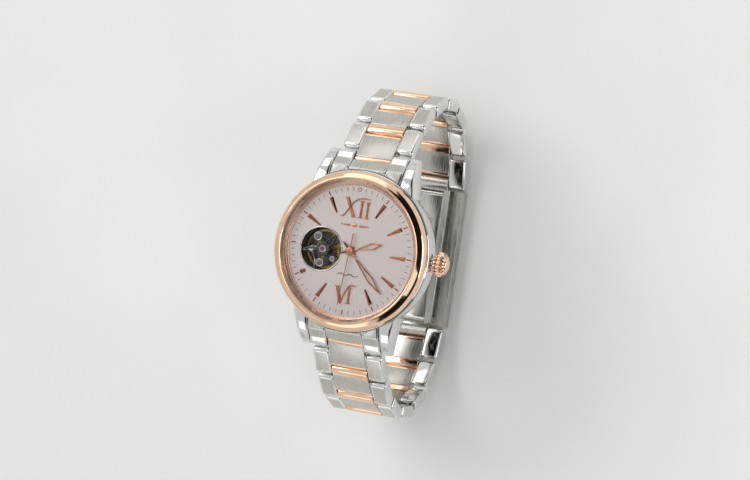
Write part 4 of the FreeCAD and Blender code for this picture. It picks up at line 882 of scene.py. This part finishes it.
# Pieces whose frame shape is right: faces, edges' finish, and how wide the broken edge is.
brokenEdges = {
    "clasp_frame": (brushedSteel, polishedSteel, 0.12), "clasp_tongue": (brushedSteel, polishedSteel, 0.1),
    "clasp_cover": (brushedSteel, polishedSteel, 0.22), "case_back": (brushedSteel, polishedSteel, 0.12),
    # Plates and rotor use nickel darkened as painted shade under the dial.
    "main_plate": (grainShadeNickel, polishedSteel, 0.06), "train_bridge": (grainShadeNickel, polishedSteel, 0.06),
    "rotor": (grainShadeNickel, polishedSteel, 0.08), "balance_wheel": (giltBrass, None, 0.04),
    "movement_screws": (hardSteel, None, 0.05),
}
for node, (faceFinish, edgeFinish, width) in brokenEdges.items():
    softened(node, faceFinish, edgeFinish, width)
print("remaining edges softened")

cameraView = {"from": (0.3299, 0.0278, 0.9436), "up": (-0.1488, 0.9886, 0.0229),
              "aim": (2.132, 2.459), "distance": 656.6, "lens": 150.0}


def addCamera():
    back = Vector(cameraView["from"]).normalized()
    right = Vector(cameraView["up"]).cross(back).normalized()
    up = back.cross(right)
    eye = (right * cameraView["aim"][0] + up * cameraView["aim"][1] + back * cameraView["distance"]) * metre
    data = bpy.data.cameras.new("camera")
    data.lens = cameraView["lens"]
    data.sensor_width = 36.0
    data.clip_start = 0.01
    camera = bpy.data.objects.new("camera", data)
    turn = Matrix((right, up, back)).transposed().to_4x4()
    camera.matrix_world = Matrix.Translation(eye) @ turn
    bpy.context.scene.collection.objects.link(camera)
    bpy.context.scene.camera = camera


# A soft white tent, with one dark flag on the crown's side that draws the dark line on the bezel.
studio = {"sky": 0.84, "flagLow": 0.16, "flagHigh": 0.78, "flagSide": 0.06, "flagSoft": 0.05}
# Name, place and size in millimetres, power in watts, colour; each is aimed at the watch's centre.
softboxes = [
    ("keyLight", (-230, 160, 300), (260, 200), 0.42, (1, 0.985, 0.96)),
    ("fillLight", (250, -120, 260), (160, 220), 0.12, (0.97, 0.985, 1)),
    ("topLight", (40, 60, 420), (150, 150), 0.1, (1, 1, 1)),
    ("farLight", (-40, 330, 110), (300, 140), 0.1, (1, 0.99, 0.98)),
    ("crownLight", (300, 20, 60), (220, 90), 0.17, (1, 0.99, 0.98)),
    ("lowLight", (-30, -300, 120), (240, 120), 0.06, (1, 0.99, 0.98)),
]


def addLights():
    for name, place, size, power, colour in softboxes:
        data = bpy.data.lights.new(name, "AREA")
        data.shape = "RECTANGLE"
        data.size, data.size_y = size[0] * metre, size[1] * metre
        data.energy = power
        data.color = colour
        light = bpy.data.objects.new(name, data)
        light.location = Vector(place) * metre
        light.rotation_euler = (-light.location).to_track_quat("-Z", "Y").to_euler()
        bpy.context.scene.collection.objects.link(light)


# A step of a direction's share that rises from start to end, for the edges of the flag.
def edgeOf(tree, source, start, end):
    step = addNode(tree, "ShaderNodeMapRange", {"From Min": start, "From Max": end}, {"Value": source})
    return step.outputs[0]


def addWorld():
    world = bpy.data.worlds.new("studio")
    world.use_nodes = True
    tree = world.node_tree
    tree.nodes.clear()
    place = addNode(tree, "ShaderNodeTexCoord")
    parts = addNode(tree, "ShaderNodeSeparateXYZ", {}, {"Vector": place.outputs["Generated"]})
    ramp = addNode(tree, "ShaderNodeValToRGB", {}, {"Fac": parts.outputs[2]})
    for stop, (position, code) in zip(ramp.color_ramp.elements, ((0.0, "#F4F3F1"), (0.7, "#EAEAE9"))):
        stop.position, stop.color = position, linear(code)
    low, high, side, soft = studio["flagLow"], studio["flagHigh"], studio["flagSide"], studio["flagSoft"]
    above = edgeOf(tree, parts.outputs[2], low, low + soft)
    below = edgeOf(tree, parts.outputs[2], high + soft, high)
    crownSide = edgeOf(tree, parts.outputs[0], side, side + soft)
    band = addNode(tree, "ShaderNodeMath", {"operation": "MULTIPLY"}, {0: above, 1: below})
    flag = addNode(tree, "ShaderNodeMath", {"operation": "MULTIPLY"}, {0: band.outputs[0], 1: crownSide})
    mixed = addNode(tree, "ShaderNodeMix", {"data_type": "RGBA", 7: linear("#1B1714")},
                    {0: flag.outputs[0], 6: ramp.outputs[0]})
    sky = addNode(tree, "ShaderNodeBackground", {"Strength": studio["sky"]}, {"Color": mixed.outputs[2]})
    addNode(tree, "ShaderNodeOutputWorld", {}, {"Surface": sky.outputs[0]})
    bpy.context.scene.world = world
    bpy.context.scene.view_settings.view_transform = "Standard"


floorShape = {"gap": 0.4, "reach": 900.0}                      # under the clasp, and half its width


def addFloor():
    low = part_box("clasp_cover")[0][2] / metre - floorShape["gap"]
    reach = floorShape["reach"]
    corners = [(side * reach, end * reach, low) for end, side in ((-1, -1), (-1, 1), (1, 1), (1, -1))]
    mesh = bpy.data.meshes.new("studioFloor")
    mesh.from_pydata((np.array(corners) * metre).tolist(), [], [[0, 1, 2, 3]])
    material, tree, shader = newMaterial("paleFloor", {"Roughness": 0.8})
    tinted(tree, objectNoise(tree, (1, 1, 1), 30.0), "#F7F7F5", "#FBFBF9", shader.inputs["Base Color"])
    mesh.materials.append(material)
    floor = bpy.data.objects.new("studioFloor", mesh)
    bpy.context.scene.collection.objects.link(floor)


addCamera()
addLights()
addWorld()
addFloor()
print("camera, lights and floor placed")
